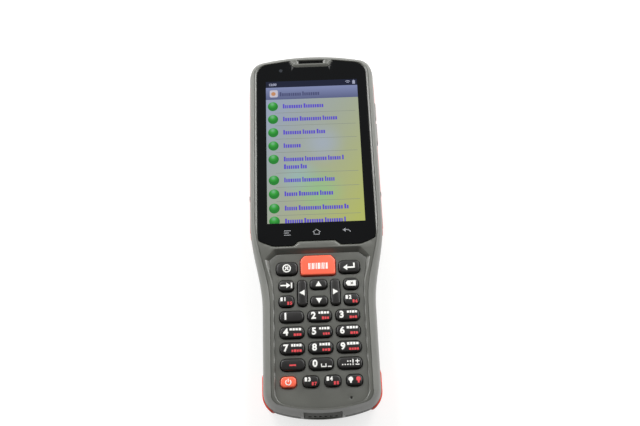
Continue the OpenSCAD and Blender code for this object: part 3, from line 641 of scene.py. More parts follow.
def draw_ball(tree, _):
    """A green ball: lighter towards its upper left, darker at its rim."""
    place = add_node(tree, "ShaderNodeUVMap", uv_map="face_place")
    reach = distance(tree, place, (0.12, -0.55, 0))
    return gradient(tree, reach, (0.1, "#74b283"), (1.0, "#2c8136"), (0.55, "#3ba03f"))


def draw_title_bar(tree, place):
    """The title bar: lighter at its upper edge."""
    height = add_node(tree, "ShaderNodeSeparateXYZ", {"Vector": place}).outputs["Y"]
    return mixed(tree, along(tree, height, 73, 80.8), tint("#5c6386"), tint("#828bb2"))


# Soft glows on the list: middle and reach in mm, colour, strength
GLOWS = [((5, 45), 15, "#a2adbf", 0.75), ((-9, 25), 15, "#97b7b6", 0.7), ((2, 16), 17, "#8fc088", 0.75)]


def draw_list(tree, place):
    """The list's background: bluish grey at the upper left to yellow green at the lower right, under three
    soft glows."""
    parts = add_node(tree, "ShaderNodeSeparateXYZ", {"Vector": place}).outputs
    across = along(tree, parts["X"], -26, 26, 0.55)
    down = along(tree, parts["Y"], 73, -2, 0.5)
    mix = calculate(tree, "ADD", across, down)
    paint = gradient(tree, mix, (0.0, "#96a2ba"), (1.0, "#b0b667"), (0.5, "#a1a998"))
    for (x, y), reach_mm, hex_colour, strength in GLOWS:
        away = distance(tree, place, (-x * MM, -y * MM, -GLASS_Z * MM))
        share = ranged(tree, away, 0.0, reach_mm * MM, strength, 0.0)
        paint = mixed(tree, share, paint, tint(hex_colour))
    return paint


# Surfaces: name, colour, roughness, grain in mm, its depth in mm, change of shade, specular, metallic
MOULDED = {
    # PC and ABS, spark-eroded mould: a dull grey whose steep faces pick up a soft sheen
    "housing": ("front_housing_pc_abs", "housing", 0.335, 0.5, 0.005, 0.12, 0.85),
    # The same blend, darker and from a coarser mould
    "rear": ("rear_housing_pc_abs", "rear", 0.55, 0.6, 0.035),
    # Silicone-backed PC caps with a satin lacquer: near black, with a soft highlight on the shoulders
    "key": ("key_cap_pc_lacquered", "key", 0.36, 0.4, 0.006, 0.08),
    # The same caps in orange pigment, a little glossier
    "signal": ("key_cap_pc_orange", "signal", 0.34, 0.4, 0.005, 0.05),
    # Overmoulded TPE, soft and dull
    "bumper": ("bumper_tpe", "bumper", 0.6, 0.5, 0.03, 0.08),
    # Chemically strengthened glass, printed black behind: polished and very dark
    "glass": ("cover_glass_printed", "glass", 0.07, 3.0, 0.0, 0.02, 0.3),
    # Pad-printed inks: opaque and slightly uneven
    "legend": ("legend_ink_white", "legend", 0.5, 0.3, 0.004, 0.05),
    "second_legend": ("legend_ink_red", "second_legend", 0.5, 0.3, 0.004, 0.05),
    # Grey ink under the glass
    "touch_mark": ("touch_mark_ink", "#8f9194", 0.34, 0.3, 0.004, 0.05),
    # Fibreglass board under green solder resist
    "board": ("solder_resist_green", "#1d5a3a", 0.35, 1.2, 0.02),
    # Drawn steel sheet with bright nickel on it
    "bright_metal": ("nickel_plated_steel", "#b9bcc0", 0.34, 0.6, 0.004, 0.06, 0.5, 1.0),
    # Die-cast magnesium, bead-blasted
    "frame_metal": ("magnesium_casting", "#8d9095", 0.45, 0.8, 0.03, 0.12, 0.5, 1.0),
    # Steel screws, chemically blackened
    "screw": ("screw_black_oxide_steel", "#3b3c3e", 0.38, 0.3, 0.004, 0.12, 0.5, 1.0),
    # Thin gold over nickel on the spring contacts
    "gold": ("contact_gold_plate", "#c9a24a", 0.22, 0.4, 0.003, 0.12, 0.5, 1.0),
    # Glass-filled nylon of the inner parts
    "black_plastic": ("black_nylon", "#232427", 0.5, 0.5, 0.02),
    # Polished panel glass, dark when it is off
    "panel": ("display_panel_glass", "#303338", 0.15, 2.0, 0.0, 0.03),
    # Shrunk PVC sleeve of the battery
    "battery": ("battery_pvc_wrap", "#23262b", 0.35, 4.0, 0.03),
    # Etched steel sheet behind the earpiece slot
    "mesh": ("earpiece_mesh_steel", "#1c1c1c", 0.4, 0.3, 0.01, 0.12, 0.5, 1.0),
    # Silicone rubber, dull
    "port_rubber": ("port_cover_silicone", "#34352f", 0.62, 0.5, 0.03),
    # Nylon studs, finer than the inner parts
    "stud": ("stud_black_nylon", "#222321", 0.4, 0.4, 0.01),
    # Dark red acrylic, polished
    "scan_window": ("scan_window_pmma_red", "#2c0d10", 0.06, 3.0, 0.0, 0.02),
    # Coated window of the camera
    "camera_glass": ("camera_window_glass", "#0b0c0e", 0.05, 3.0, 0.0, 0.02),
    # Clear acrylic with fine rings
    "flash": ("flash_fresnel_pmma", "#efe9c8", 0.2, 0.5, 0.02, 0.05),
}
# Light of the display: name, and one colour or the function that draws it
LIT = {
    "status_bar": ("display_status_bar", "#23273a"),
    "title_bar": ("display_title_bar", draw_title_bar),
    "title_ink": ("display_title_ink", "#4d5276"),
    "white_light": ("display_white", "#c3bfcc"),
    "orange_light": ("display_orange", "#c08a63"),
    "dim_light": ("display_dim_white", "#a3a7bd"),
    "divider": ("display_divider", "#858c83"),
    "text": ("display_text_violet", "text"),
    "ball": ("display_ball_green", draw_ball),
    "list_paper": ("display_list_background", draw_list),
}
MATERIALS = {}


def material(name):
    """A finish by name, made the first time it is asked for."""
    if name not in MATERIALS:
        MATERIALS[name] = moulded(*MOULDED[name]) if name in MOULDED else lit(*LIT[name])
    return MATERIALS[name]


class Step:
    """What every step shares: it builds its pieces from the sizes of the moment."""

    def execute(self, context):
        self.build(sizes())
        return {"FINISHED"}


# ---------- front housing ----------
RIM = np.array(FRONT_LEVELS[-1][2:])
# Trim groove, in from the rim: insets of head, grip, scan end and bottom end, and share of its depth
GROOVE = [
    [0.12, 0.12, 0.02, 0.02, 0.0],
    [0.2, 0.2, 0.04, 0.06, 0.8],
    [0.3, 0.3, 0.06, 0.1, 1.0],
    [0.4, 0.4, 0.08, 0.14, 0.8],
    [0.48, 0.48, 0.1, 0.18, 0.0],
]
LENS_CORNER_R, LENS_ARCH_R = 7.0, 150.0
BEVEL_RUN = 2.6
BEVEL_RISE = RIM_TOP + 0.2 - PLATE_Z
# The seam between the housings: half its gap, and how far its lip lies in, at the head, grip and both ends
SEAM = 0.12
LIP_INSETS = [0.22, 0.22, 0.22, 0.57]
# Clearance round the flank keys, and the flange that holds each in its slot
FLANK_KEY_GAP = 0.25
FLANK_FLANGE = 0.6
# The port's frame: lean of its wall in degrees, distance in from the bottom end and height
PORT_LEAN, PORT_IN, PORT_UP = 12.4, 1.5, 15
# Cutters for openings in the back start below it and end at these heights
BELOW = -1
COVER_SEAT, SLITS, SCREW_WELLS, WINDOWS = 1.9, 2.4, 3.4, 4
# Floor and top of the room for the display and of the one for the keypad's board
DISPLAY_ROOM = (21, 25.2)
KEYPAD_ROOM = (17, 23.2)
# Spacing of the points inside the housing's face, the glass and the keypad plate
FACE_GRID, GLASS_GRID, PLATE_GRID = 2.2, 6, 3


def lens_outline(side, top=None):
    """The glass outline, grown by side mm (and by top at the scan end): an arched top, two round corners,
    two straight sides, a foot with a notch for the tab, and a notch at the top for the earpiece."""
    top = side if top is None else top
    half = GLASS_HIGH[0] + side
    head = LENS_TOP + top
    foot = GLASS_LOW[1] - side
    radius = LENS_CORNER_R + side
    centre = corner_centre(half, head, radius, LENS_ARCH_R, 1)
    end = math.atan2(centre[1] - head + LENS_ARCH_R, centre[0])
    lower = soft_corners([
        [0, foot + 2.5], [9.7 - side * 0.5, foot + 2.5], [12.5 - side * 0.5, foot], [half - side - 8.1, foot],
        [half - 1, foot + 2.8], [half, foot + 4.3 + side * 0.5], [half, foot + 12]],
        [0.25, 0.3, 0.3, 0.9, 0.9], 5)
    upper = soft_corners([
        arc(centre, radius, end, end, 1)[0], [12.6 - side, head - 0.4], [10.4 - side, LENS_TOP - 4.1 + side],
        [0, LENS_TOP - 4.1 + side]], [0.04, 0.5], 6)
    return mirrored(np.concatenate([lower, arc(centre, radius, 0, end, 18)[:-1], upper]))


def plate_outline(growth):
    """The keypad plate's outline, grown by growth mm: round at the bottom, straight beside the number keys,
    flared beside the scan key, with cut corners at the top."""
    half = PLATE_HALF + growth
    top = PLATE_TOP
    arch_centre = [0, PLATE_FOOT + GRIP_ARCH_R - growth]
    bottom = arc(arch_centre, GRIP_ARCH_R, math.radians(-90), math.radians(-78.2), 12)
    corner = arc([PLATE_HALF - 6, PLATE_FOOT + 8.1], 6 + growth, math.radians(-66), 0, 12)
    upper = soft_corners([
        [half, PLATE_FOOT + 14], [half, top - 18.4], [half + 1.1, top - 12.4],
        [half + PLATE_FLARE - 0.4, top - 6.4], [half + PLATE_FLARE, top - 3.2],
        [PLATE_HALF - 1.5 + growth * 0.5, top + growth], [0, top + growth]], [0.9, 0.9, 0.9, 0.3, 0.2], 6)
    return mirrored(np.concatenate([bottom, corner, upper]))


def groove_share(points):
    """1 beside the display and the keypad, fading to 0 before the scan end and the bottom end."""
    return ease((Y_END - 6 - points[:, 1]) / 7) * ease((points[:, 1] + Y_END - 4.2) / 4)


def port_place(points):
    """Points from the port's own frame to the body's: X across, Y into the body, Z up its leaning wall."""
    tilt = -math.radians(PORT_LEAN)
    y = points[:, 1] * math.cos(tilt) - points[:, 2] * math.sin(tilt)
    z = points[:, 1] * math.sin(tilt) + points[:, 2] * math.cos(tilt)
    return np.column_stack([points[:, 0], y - Y_END + PORT_IN, z + PORT_UP])


def port_pocket():
    """The pocket that the port frame sits in, so close round it that no line shows."""
    width, height, front, depth = 22.36, 11.96, -4, 3.15
    cutter = prism(rounded_rect(height, width, 0.05, 2), front, depth, "y")
    points = port_place(np.array([list(v.co) for v in cutter.data.vertices]) / MM)
    cutter.data.vertices.foreach_set("co", (points * MM).ravel())
    return cutter


def flank_cutter(y, z, length, height, sign):
    """A slot with round ends through a flank."""
    outline = rounded_rect(length, height, height / 2 - 0.1, 10) + [y, z]
    inner, outer = 30.0, 40.0
    return prism(outline, *sorted((sign * inner, sign * outer)), "x")


def slot_round(node):
    """Middle along Y and Z, length and height of the slot round a flank key, from its CAD box."""
    return *box_middle(node)[1:], *(box_span(node) - 2 * FLANK_FLANGE + 2 * FLANK_KEY_GAP)[1:]


class TERMINAL_OT_front_housing(Step, bpy.types.Operator):
    """Moulds the front housing: lofted skin, trim groove, bed of the glass and field of the keypad"""
    bl_idname = "terminal.front_housing"
    bl_label = "Front housing"

    def build(self, s):
        shell = Shell()
        wall = s["wall"]
        levels = [list(level) for level in FRONT_LEVELS]
        levels[0][0] = s["parting_height"] + SEAM
        lip = [s["parting_height"], 0, *LIP_INSETS]
        inner = [RIM_TOP, 1, *(RIM + GROOVE[0][:4])]
        skin = soft_corners([lip, *levels, inner], [0.9, 1, 1, 0.45, 0.5], 6)
        first, edge = shell.stack([ring(level, s) for level in skin])
        for row in GROOVE[1:]:
            points = ring([RIM_TOP, 1, *(RIM + row[:4])], s)
            points[:, 2] -= row[4] * s["groove_depth"] * groove_share(points)
            inner_edge = shell.loop(points)
            shell.bridge(edge, inner_edge)
            edge = inner_edge

        def deck_z(x, y):
            return RIM_TOP - fall(y, s)

        glass_edge = self.glass_bed(shell, s)
        field_edge = self.keypad_field(shell, s)
        mouth_edge = self.earpiece_mouth(shell)
        shell.fill([edge, glass_edge, mouth_edge, field_edge], deck_z, FACE_GRID)
        shell.fill([first], up=False)
        piece = shell.mesh("front_housing_shell")

        thick = [0, 0, wall, wall, wall, wall]
        hollow = np.array([
            [s["parting_height"] - 1, 0, 0, 0, 0, 0.35], [18, 0.2, 0.1, 0.6, 0.1, 1.5],
            [22.6, 0.8, 1.3, 2.6, 0.6, 2.8]]) + thick
        key_window = plate_outline(-0.6)
        key_window[:, 1] = np.maximum(key_window[:, 1], PLATE_LOW[1] + 8.3)
        cut(piece, [
            loft_cutter(hollow, s),
            prism(opening("display_panel", 1.6, 3), *DISPLAY_ROOM),
            prism(key_window, *KEYPAD_ROOM),
            prism(opening("earpiece_mesh", 0.26, 0.3, 4), GLASS_Z - 4, RIM_TOP - 1.1),
            flank_cutter(*slot_round("volume_key"), 1),
            flank_cutter(*slot_round("camera_key"), 1),
            port_pocket(),
        ])
        shade(piece)
        finish(piece, "housing", "root", ["front_housing"])

    def glass_bed(self, shell, s):
        """Bed of the glass: a bevel with soft edges, a short wall and a ledge. The bevel narrows where the
        waist comes close to the foot's corners, and widens below the earpiece and along the scan end."""
        bevel = soft_corners([
            [1.15, 0.46, 0], [0.84, 0.37, -0.12], [0.3, 0.2, -0.62], [FIT, FIT, -0.75], [FIT, FIT, -1.7]],
            [0.9, 0.35, 0.35], 4)
        base = lens_outline(0)
        at_fit = lens_outline(FIT) - base
        aside = np.abs(base[:, 0])
        near_waist = ease((-1.5 - base[:, 1]) / 8) * ease((aside - 24) / 5)
        near_slot = ease(base[:, 1] - 91) * ease((97 - base[:, 1]) / 2) * ease(13.5 - aside)
        width = (1 - 0.75 * near_waist + 0.4 * near_slot)[:, None]
        near_end = ease(base[:, 1] - 94) * ease((aside - 12.4) / 1.5) * ease((24 - aside) / 5)
        rings = []
        for side, top, drop in bevel:
            grown = lens_outline(side, top) - base
            outline = base + at_fit + (grown - at_fit) * width
            outline[:, 1] += 0.6 * near_end * (side - FIT)
            z = RIM_TOP + drop - fall(outline[:, 1], s) * np.clip(1 + drop / 0.75, 0, 1)
            rings.append(np.column_stack([outline, z]))
        return shell.sink(rings)

    def keypad_field(self, shell, s):
        """Field of the keypad: slanted walls from the land down to the plate's seat."""
        base, unit = plate_outline(0), plate_outline(1) - plate_outline(0)
        reach = (BEVEL_RUN * (RIM_TOP - fall(base[:, 1], s) - PLATE_Z) / BEVEL_RISE)[:, None]
        walls = soft_corners([[1, 0.5, 0], [1, 0, 0], [0, 0, 1], [0, 0, 1.6]], [0.9, 0.2], 6)
        rings = []
        for share, extra, depth in walls:
            outline = base + unit * (reach * share + extra)
            top_z = RIM_TOP - fall(outline[:, 1], s)
            z = top_z + (PLATE_Z - top_z) * min(depth, 1) - max(depth - 1, 0) * 2.5
            rings.append(np.column_stack([outline, z]))
        return shell.sink(rings)

    def earpiece_mouth(self, shell):
        """Mouth of the earpiece: slanted walls with a soft edge round the slot."""
        mouth = soft_corners([[1.15, 0.62, 0.3, 0], [1, 0.5, 0.25, 0], [0, 0, 0, -0.8], [0, 0, 0, -1.2]],
                             [0.7, 0.2], 4)
        rings = []
        for end, below, above, drop in mouth:
            x, y = box_span("earpiece_mesh")[:2] / 2 + FIT + [end, 0]
            corners = [[-x, -y - below], [x, -y - below], [x, y + above], [-x, y + above]]
            outline = rounded_polygon(corners, [0.3] * 4, 4) + box_middle("earpiece_mesh")[:2]
            rings.append(at_height(outline, RIM_TOP + drop))
        return shell.sink(rings)


class TERMINAL_OT_rear_housing(Step, bpy.types.Operator):
    """Moulds the rear housing round its bays, windows and slots"""
    bl_idname = "terminal.rear_housing"
    bl_label = "Rear housing"

    def build(self, s):
        shell = Shell()
        levels = [list(level) for level in REAR_LEVELS]
        levels[-1][0] = s["parting_height"] - SEAM
        lip = [s["parting_height"] - 0.01, 0, *LIP_INSETS]
        skin = soft_corners([*levels, lip], [0.9, 1, 1, 0.9], 7)
        first, last = shell.stack([ring(level, s) for level in skin])
        shell.fill([first], up=False)
        shell.fill([last])
        piece = shell.mesh("rear_housing_shell")

        cover_low, cover_high = node_box("battery_cover")
        seat_foot, seat_head = cover_low[1] + 2.2, cover_high[1] + 0.3
        seat = rounded_rect(cover_high[0] - cover_low[0] + 0.6, seat_head - seat_foot, 3.3)
        seat += [0, (seat_head + seat_foot) / 2]
        scan_window = rounded_rect(*(box_span("scan_window") + 0.3)[[2, 0]], 1.7)
        cutters = [
            prism(seat, BELOW, COVER_SEAT),
            prism(opening("battery", [0.8, 2.8], 2.4, shift=[0, 1]), BELOW, node_box("battery")[1][2] + 0.2),
            prism(scan_window + [box_middle("scan_window")[2], 0], Y_END - 8, Y_END + 3, "y"),
            prism(opening("camera_window", 0.3, 4.7, 14), BELOW, WINDOWS),
            prism(opening("flash_lens", 0.3, 2.5, 10), BELOW, WINDOWS),
            port_pocket(),
        ]
        for i in range(-2, 3):
            slit = rounded_rect(11, 1, 0.45) + box_middle("loudspeaker")[:2] + [0, i * 2.2]
            cutters.append(prism(slit, BELOW, SLITS))
        for sign in (-1, 1):
            tongue = rounded_rect(5.6, 4.6, 0.4) + [sign * 12, cover_low[1] + 2.0]
            cutters.append(prism(tongue, BELOW, SLITS))
            cutters.append(flank_cutter(*slot_round("side_scan_right"), sign))
        for sign in (-1, 1):
            for x, y in ((24.5, Y_END - 8.5), (25.2, GLASS_LOW[1] + 1.8), (16.5, 9.6 - Y_END)):
                cutters.append(prism(rounded_rect(4.6, 4.6, 2.29, 8) + [sign * x, y], BELOW, SCREW_WELLS))
        cut(piece, cutters)
        shade(piece)
        finish(piece, "rear", "root", ["rear_housing"])


# ---------- keypad ----------
# Gap round a cap, width of its flange, inset of the first ring of its shoulder, corner radius of a number key
KEY_GAP, FLANGE, FIRST_INSET, KEY_CORNER_R = 0.35, 0.5, 0.04, 2.4
# Corner radii of the caps that have another one
CORNER_R = {1.8: ("left", "right"), 1.9: ("up", "down"), 2.3: ("tab", "backspace", "f1", "f2"),
            2.1: ("power", "f3", "f4", "light")}


def key_outline(node):
    """Middle of a key and the outline of its cap. The scan key has cut corners at its top."""
    middle = box_middle(node)[:2]
    width, height = box_span(node)[:2] - 2 * FLANGE
    if node == "key_scan":
        x, y = width / 2, height / 2
        points = [[-x, -y], [x, -y], [x, y - 2.4], [x - 2, y], [-x + 2, y], [-x, y - 2.4]]
        return middle, rounded_polygon(points, [1.4] * 6, 6)
    radius = next((r for r, names in CORNER_R.items() if node[4:] in names), KEY_CORNER_R)
    return middle, rounded_rect(width, height, radius, 8)


def cap_height(node, x, y, s):
    """Height of a cap's crowned top at x and y from its middle: it falls as the square of the distance."""
    half = box_span(node)[:2] / 2 - FLANGE - s["cap_shoulder"] * 0.8
    share = np.minimum((x / half[0]) ** 2 + (y / half[1]) ** 2, 2) / 2
    return node_box(node)[1][2] - s["cap_crown"] * share


def cap_shell(outline, middle, low_z, flange_z, base_z, top, s):
    """A key: flange, straight flank, round shoulder and crowned top, all rings of one outline."""
    shell = Shell()
    normal = outward(outline)
    shoulder = s["cap_shoulder"]
    rings = []
    for grow, z in ((FLANGE, low_z), (FLANGE, flange_z), (0, flange_z), (0, base_z)):
        rings.append(at_height(outline + normal * grow + middle, z))
    for angle in np.linspace(0, math.radians(84), 7):
        inset = shoulder * (1 - math.cos(angle)) + FIRST_INSET
        flat = outline - normal * inset
        z = top(flat[:, 0], flat[:, 1]) - shoulder * (1 - math.sin(angle))
        rings.append(np.column_stack([flat + middle, z]))
    rim = outline - normal * (shoulder + FIRST_INSET)
    for scale in (1, 0.8, 0.55, 0.3):
        flat = rim * scale
        rings.append(np.column_stack([flat + middle, top(flat[:, 0], flat[:, 1])]))
    first, last = shell.stack(rings)
    shell.fan(last, [*middle, float(top(np.zeros(1), np.zeros(1))[0])])
    shell.fan(first, [*middle, low_z], up=False)
    return shell


class TERMINAL_OT_keys(Step, bpy.types.Operator):
    """Moulds the keypad's caps, each on its own body"""
    bl_idname = "terminal.keys"
    bl_label = "Keys"

    def build(self, s):
        for node in KEY_NODES:
            middle, outline = key_outline(node)
            flange_top = PLATE_LOW[2] - 0.02
            shell = cap_shell(outline, middle, node_box(node)[0][2], flange_top, PLATE_Z - 0.2,
                              lambda x, y: cap_height(node, x, y, s), s)
            piece = shell.mesh(f"{node}_cap")
            shade(piece, 40)
            orange = node in ("key_scan", "key_power")
            finish_name, slot = ("signal", "orange") if orange else ("key", "key_black")
            finish(piece, finish_name, node, [node])


class TERMINAL_OT_keypad_plate(Step, bpy.types.Operator):
    """Cuts the keypad plate: soft outer edge and a soft-edged hole for every key"""
    bl_idname = "terminal.keypad_plate"
    bl_label = "Keypad plate"

    def build(self, s):
        shell = Shell()
        low_z = PLATE_LOW[2]
        # Radius of the holes' edges, gap round the plate and radius of its own edge
        soft, gap, crisp = 0.28, 0.04, 0.12
        rim = [at_height(plate_outline(-gap), z) for z in (low_z, PLATE_Z - crisp)]
        for a in np.linspace(0.3, math.pi / 2, 5):
            outline = plate_outline(-gap - crisp * (1 - math.cos(a)))
            rim.append(at_height(outline, PLATE_Z - crisp + crisp * math.sin(a)))
        bottom, top = shell.stack(rim)
        tops, bottoms = [top], [bottom]
        holes = []
        for node in KEY_NODES:
            middle, outline = key_outline(node)
            holes.append(outline + outward(outline) * KEY_GAP + middle)
        mic = np.array([PLATE_HALF - 8.8, 8.4 - Y_END])
        holes.append(rounded_rect(1.2, 1.2, 0.59, 5) + mic)
        for hole in holes:
            normal = outward(hole)
            rings = [at_height(hole + normal * soft * (1 - math.cos(a)), PLATE_Z - soft + soft * math.sin(a))
                     for a in np.linspace(math.pi / 2, 0.0, 5)]
            rings.append(at_height(hole, low_z))
            first, last = shell.stack(rings)
            tops.append(first)
            bottoms.append(last)
        shell.fill(tops, lambda x, y: np.full(len(x), PLATE_Z), PLATE_GRID)
        shell.fill(bottoms, up=False)
        piece = shell.mesh("keypad_plate_cut")
        shade(piece)
        finish(piece, "housing", "root", ["keypad_plate"])


# ---------- legends ----------


def text_faces(text, height):
    """Points and faces of plain digits of the given height, centred, from the built-in typeface."""
    curve = bpy.data.curves.new("legend", "FONT")
    curve.body = text
    curve.align_x, curve.align_y = "CENTER", "CENTER"
    curve.size = 1.0
    curve.offset = 0.042
    curve.resolution_u = 4
    holder = bpy.data.objects.new("legend", curve)
    bpy.context.scene.collection.objects.link(holder)
    bpy.context.view_layer.update()
    mesh = bpy.data.meshes.new_from_object(holder.evaluated_get(bpy.context.evaluated_depsgraph_get()))
    points, faces = points_and_faces(mesh)
    bpy.data.objects.remove(holder)
    bpy.data.curves.remove(curve)
    bpy.data.meshes.remove(mesh)
    points -= (points.min(0) + points.max(0)) / 2
    points *= height / (points[:, 1].max() - points[:, 1].min())
    return points, faces


def flat_shape(*outlines):
    """Points and faces of one or more simple outlines, each of them one face."""
    return joined(*[(np.asarray(outline, float), [list(range(len(outline)))]) for outline in outlines])


def bar(x, y, width, height):
    """A rectangle as an outline."""
    return [[x - width / 2, y - height / 2], [x + width / 2, y - height / 2],
            [x + width / 2, y + height / 2], [x - width / 2, y + height / 2]]


def marks(right, y, count, width=1.0, height=1.2, gap=0.25, seed=0):
    """A short row of blocks that ends at x = right, where a keypad has its small letters."""
    rng = np.random.default_rng(seed)
    outlines = []
    x = right
    for _ in range(count):
        block = width * rng.uniform(0.7, 1.05)
        tall = height * rng.uniform(0.75, 1)
        outlines.append(bar(x - block / 2, y, block, tall))
        x -= block + gap
    return outlines


def band(points, width):
    """An open line drawn with a pen of the given width, as one strip of quads."""
    points = np.asarray(points, float)
    ahead = np.gradient(points, axis=0)
    ahead /= np.linalg.norm(ahead, axis=1, keepdims=True)
    side = np.stack([-ahead[:, 1], ahead[:, 0]], 1) * width / 2
    both = np.concatenate([points + side, points - side])
    n = len(points)
    faces = [[i, i + n, i + n + 1, i + 1] for i in range(n - 1)]
    return both, faces


def joined(*shapes):
    """Several flat shapes as one."""
    points, faces, start = [], [], 0
    for some_points, some_faces in shapes:
        points.append(some_points)
        faces.extend([[i + start for i in face] for face in some_faces])
        start += len(some_points)
    return np.concatenate(points), faces


def moved(shape, x, y):
    """A flat shape moved by x and y."""
    return shape[0] + [x, y], shape[1]


def ruled(shape, step=0.5):
    """A flat shape cut along lines every step mm both ways, so that it can follow a crowned top."""
    points, faces = shape
    mesh = bpy.data.meshes.new("flat_print")
    mesh.from_pydata(at_height(points, 0).tolist(), [], faces)
    work = bmesh.new()
    work.from_mesh(mesh)
    for axis in (0, 1):
        first = math.ceil(points[:, axis].min() / step) * step
        for place in np.arange(first, points[:, axis].max(), step):
            across = np.eye(3)[axis]
            bmesh.ops.bisect_plane(work, geom=[*work.verts, *work.edges, *work.faces], dist=1e-6,
                                   plane_co=across * place, plane_no=across)
    work.to_mesh(mesh)
    work.free()
    ruled_shape = points_and_faces(mesh)
    bpy.data.meshes.remove(mesh)
    return ruled_shape


def face_up(piece):
    """Turns every face of a flat print to look up."""
    for face in [face for face in piece.data.polygons if face.normal.z < 0]:
        face.flip()
    piece.data.update()


def disc(x, y, radius, steps=20):
    """A circle as an outline."""
    return arc([x, y], radius, 0, 2 * math.pi, steps)[:-1]


def cross(x, y, half_width, half_height, pen):
    """Two crossing strokes."""
    low, high = [x - half_width, y - half_height], [x + half_width, y + half_height]
    return joined(band([low, high], pen), band([[low[0], high[1]], [high[0], low[1]]], pen))


def bulb(x):
    """A light bulb as a plain sign."""
    return flat_shape(disc(x, 0.45, 1.15), bar(x, -1.0, 0.9, 0.9))


def function_key(digit, block, height, place):
    """A block in the place of a function key's letter, and its number."""
    return joined(flat_shape(bar(*block)), moved(text_faces(digit, height), *place))


FUNCTION_KEYS = ("f1", "f2", "f3", "f4")
ARROWS = {"up": (0, 1), "down": (0, -1), "left": (-1, 0), "right": (1, 0)}


def white_legend(node):
    """The white print of a key: digits, arrows and plain signs."""
    name = node[4:]
    if name.isdigit():
        digit = moved(text_faces(name, 3.7), -3.1, 0.2)
        if name == "1":
            return digit
        if name == "0":
            return joined(digit, flat_shape(bar(0.1, -0.9, 0.5, 1.7), bar(1.2, -1.5, 1.7, 0.5),
                                            bar(2.3, -0.9, 0.5, 1.7), bar(4.1, -1.5, 1.9, 0.5)))
        return joined(digit, flat_shape(*marks(4.7, 1.45, 4, 1.22, 1.4, 0.34, int(name))))
    if name in ARROWS:
        x, y = ARROWS[name]
        tip, side = np.array([x, y], float), np.array([-y, x], float)
        return flat_shape([tip * 1.45, -tip * 1.25 + side * 1.55, -tip * 1.25 - side * 1.55])
    if name == "esc":
        return joined(band(arc([0, 0], 1.9, 0, 2 * math.pi, 40), 0.6), cross(0, 0, 0.85, 0.85, 0.7))
    if name == "scan":
        widths = [0.7, 0.35, 0.9, 0.35, 0.5, 1.1, 0.35, 0.7, 0.35, 0.9]
        outlines, x = [], -4.9
        for width in widths:
            outlines.append(bar(x + width / 2, -0.6, width, 3.3))
            x += width + 0.42
        return flat_shape(*outlines)
    if name == "enter":
        head = [[-3.2, -0.6], [-1.0, 1.0], [-1.0, -2.2]]
        return flat_shape(bar(2.5, 0.8, 0.8, 2.0), bar(0.95, -0.6, 3.9, 0.8), head)
    if name == "tab":
        head = [[2.2, 0], [0.1, 1.45], [0.1, -1.45]]
        return flat_shape(bar(-1.4, 0, 3.0, 0.75), head, bar(2.75, 0, 0.65, 2.9))
    if name == "backspace":
        return flat_shape([[-2.7, 0.35], [-1.7, -1.35], [2.55, -1.35], [2.55, 1.45], [-1.7, 1.45]])
    if name in FUNCTION_KEYS:
        return function_key(name[1], (-2.45, 0.95, 1.15, 2.0), 2.1, (-0.75, 0.95))
    if name == "symbols":
        dots = [(-3.7, -0.9), (-2.4, -0.9), (-1.1, -0.9), (-1.1, 0.7), (0.2, -0.9), (0.2, 0.7), (1.5, -0.9)]
        return flat_shape(*[disc(x, y, 0.36, 12) for x, y in dots], bar(1.5, 0.75, 0.55, 1.9),
                          bar(3.7, 0.7, 2.0, 0.5), bar(3.7, 1.3, 0.5, 0.75), bar(3.7, 0.1, 0.5, 0.75),
                          bar(3.7, -1.0, 2.0, 0.5))
    if name == "power":
        open_ring = arc([0, -0.1], 1.3, math.radians(128), math.radians(412), 30)
        return joined(band(open_ring, 0.48), flat_shape(bar(0, 0.8, 0.48, 1.6)))
    if name == "light":
        return bulb(-1.9)
    return None


def red_legend(node):
    """The red print of a key."""
    name = node[4:]
    if name.isdigit() and name not in ("0", "1"):
        count = 4 if name in ("7", "9") else 3
        return flat_shape(*marks(4.7, -1.3, count, 1.22, 1.35, 0.3, 20 + int(name)))
    if name == "dash":
        return flat_shape(bar(0.1, -0.35, 3.4, 0.75))
    if name in FUNCTION_KEYS:
        return function_key(str(int(name[1]) + 4), (0.9, -1.2, 0.95, 1.6), 1.7, (2.35, -1.2))
    if name == "light":
        return bulb(1.9)
    return None


def dark_legend(node):
    """The mark left open in the backspace sign."""
    if node != "key_backspace":
        return None
    return cross(0.5, 0.05, 0.6, 0.65, 0.34)


class TERMINAL_OT_legends(Step, bpy.types.Operator):
    """Prints the legends: digits, arrows and plain signs that follow each cap's crown"""
    bl_idname = "terminal.legends"
    bl_label = "Legends"

    def build(self, s):
        prints = (("white", white_legend, "legend", 1), ("red", red_legend, "second_legend", 1),
                  ("dark", dark_legend, "key", 1.6))
        for node in KEY_NODES:
            middle, _ = key_outline(node)
            for name, draw, finish_name, layers in prints:
                shape = draw(node)
                if shape is None:
                    continue
                points, faces = ruled(shape)
                z = cap_height(node, points[:, 0], points[:, 1], s) + s["legend_rise"] * layers
                piece = make_mesh(f"{node}_legend_{name}", np.column_stack([points + middle, z]), faces)
                face_up(piece)
                finish(piece, finish_name, node)


# ---------- glass and picture ----------
# Middle and half width of the screen, height of the first print, step between prints, pen of the touch marks
SCREEN_Y, SCREEN_HALF = 41.5, 25.92
INK_Z, LAYER = GLASS_Z + 0.015, 0.012
TOUCH_PEN = 0.42


def ink(name, shape, finish_name, layer=0):
    """A flat print or a part of the picture, placed from the screen's middle, in its own thin layer."""
    points, faces = moved(shape, 0, SCREEN_Y)
    piece = make_mesh(name, at_height(points, INK_Z + layer * LAYER), faces)
    face_up(piece)
    finish(piece, finish_name)


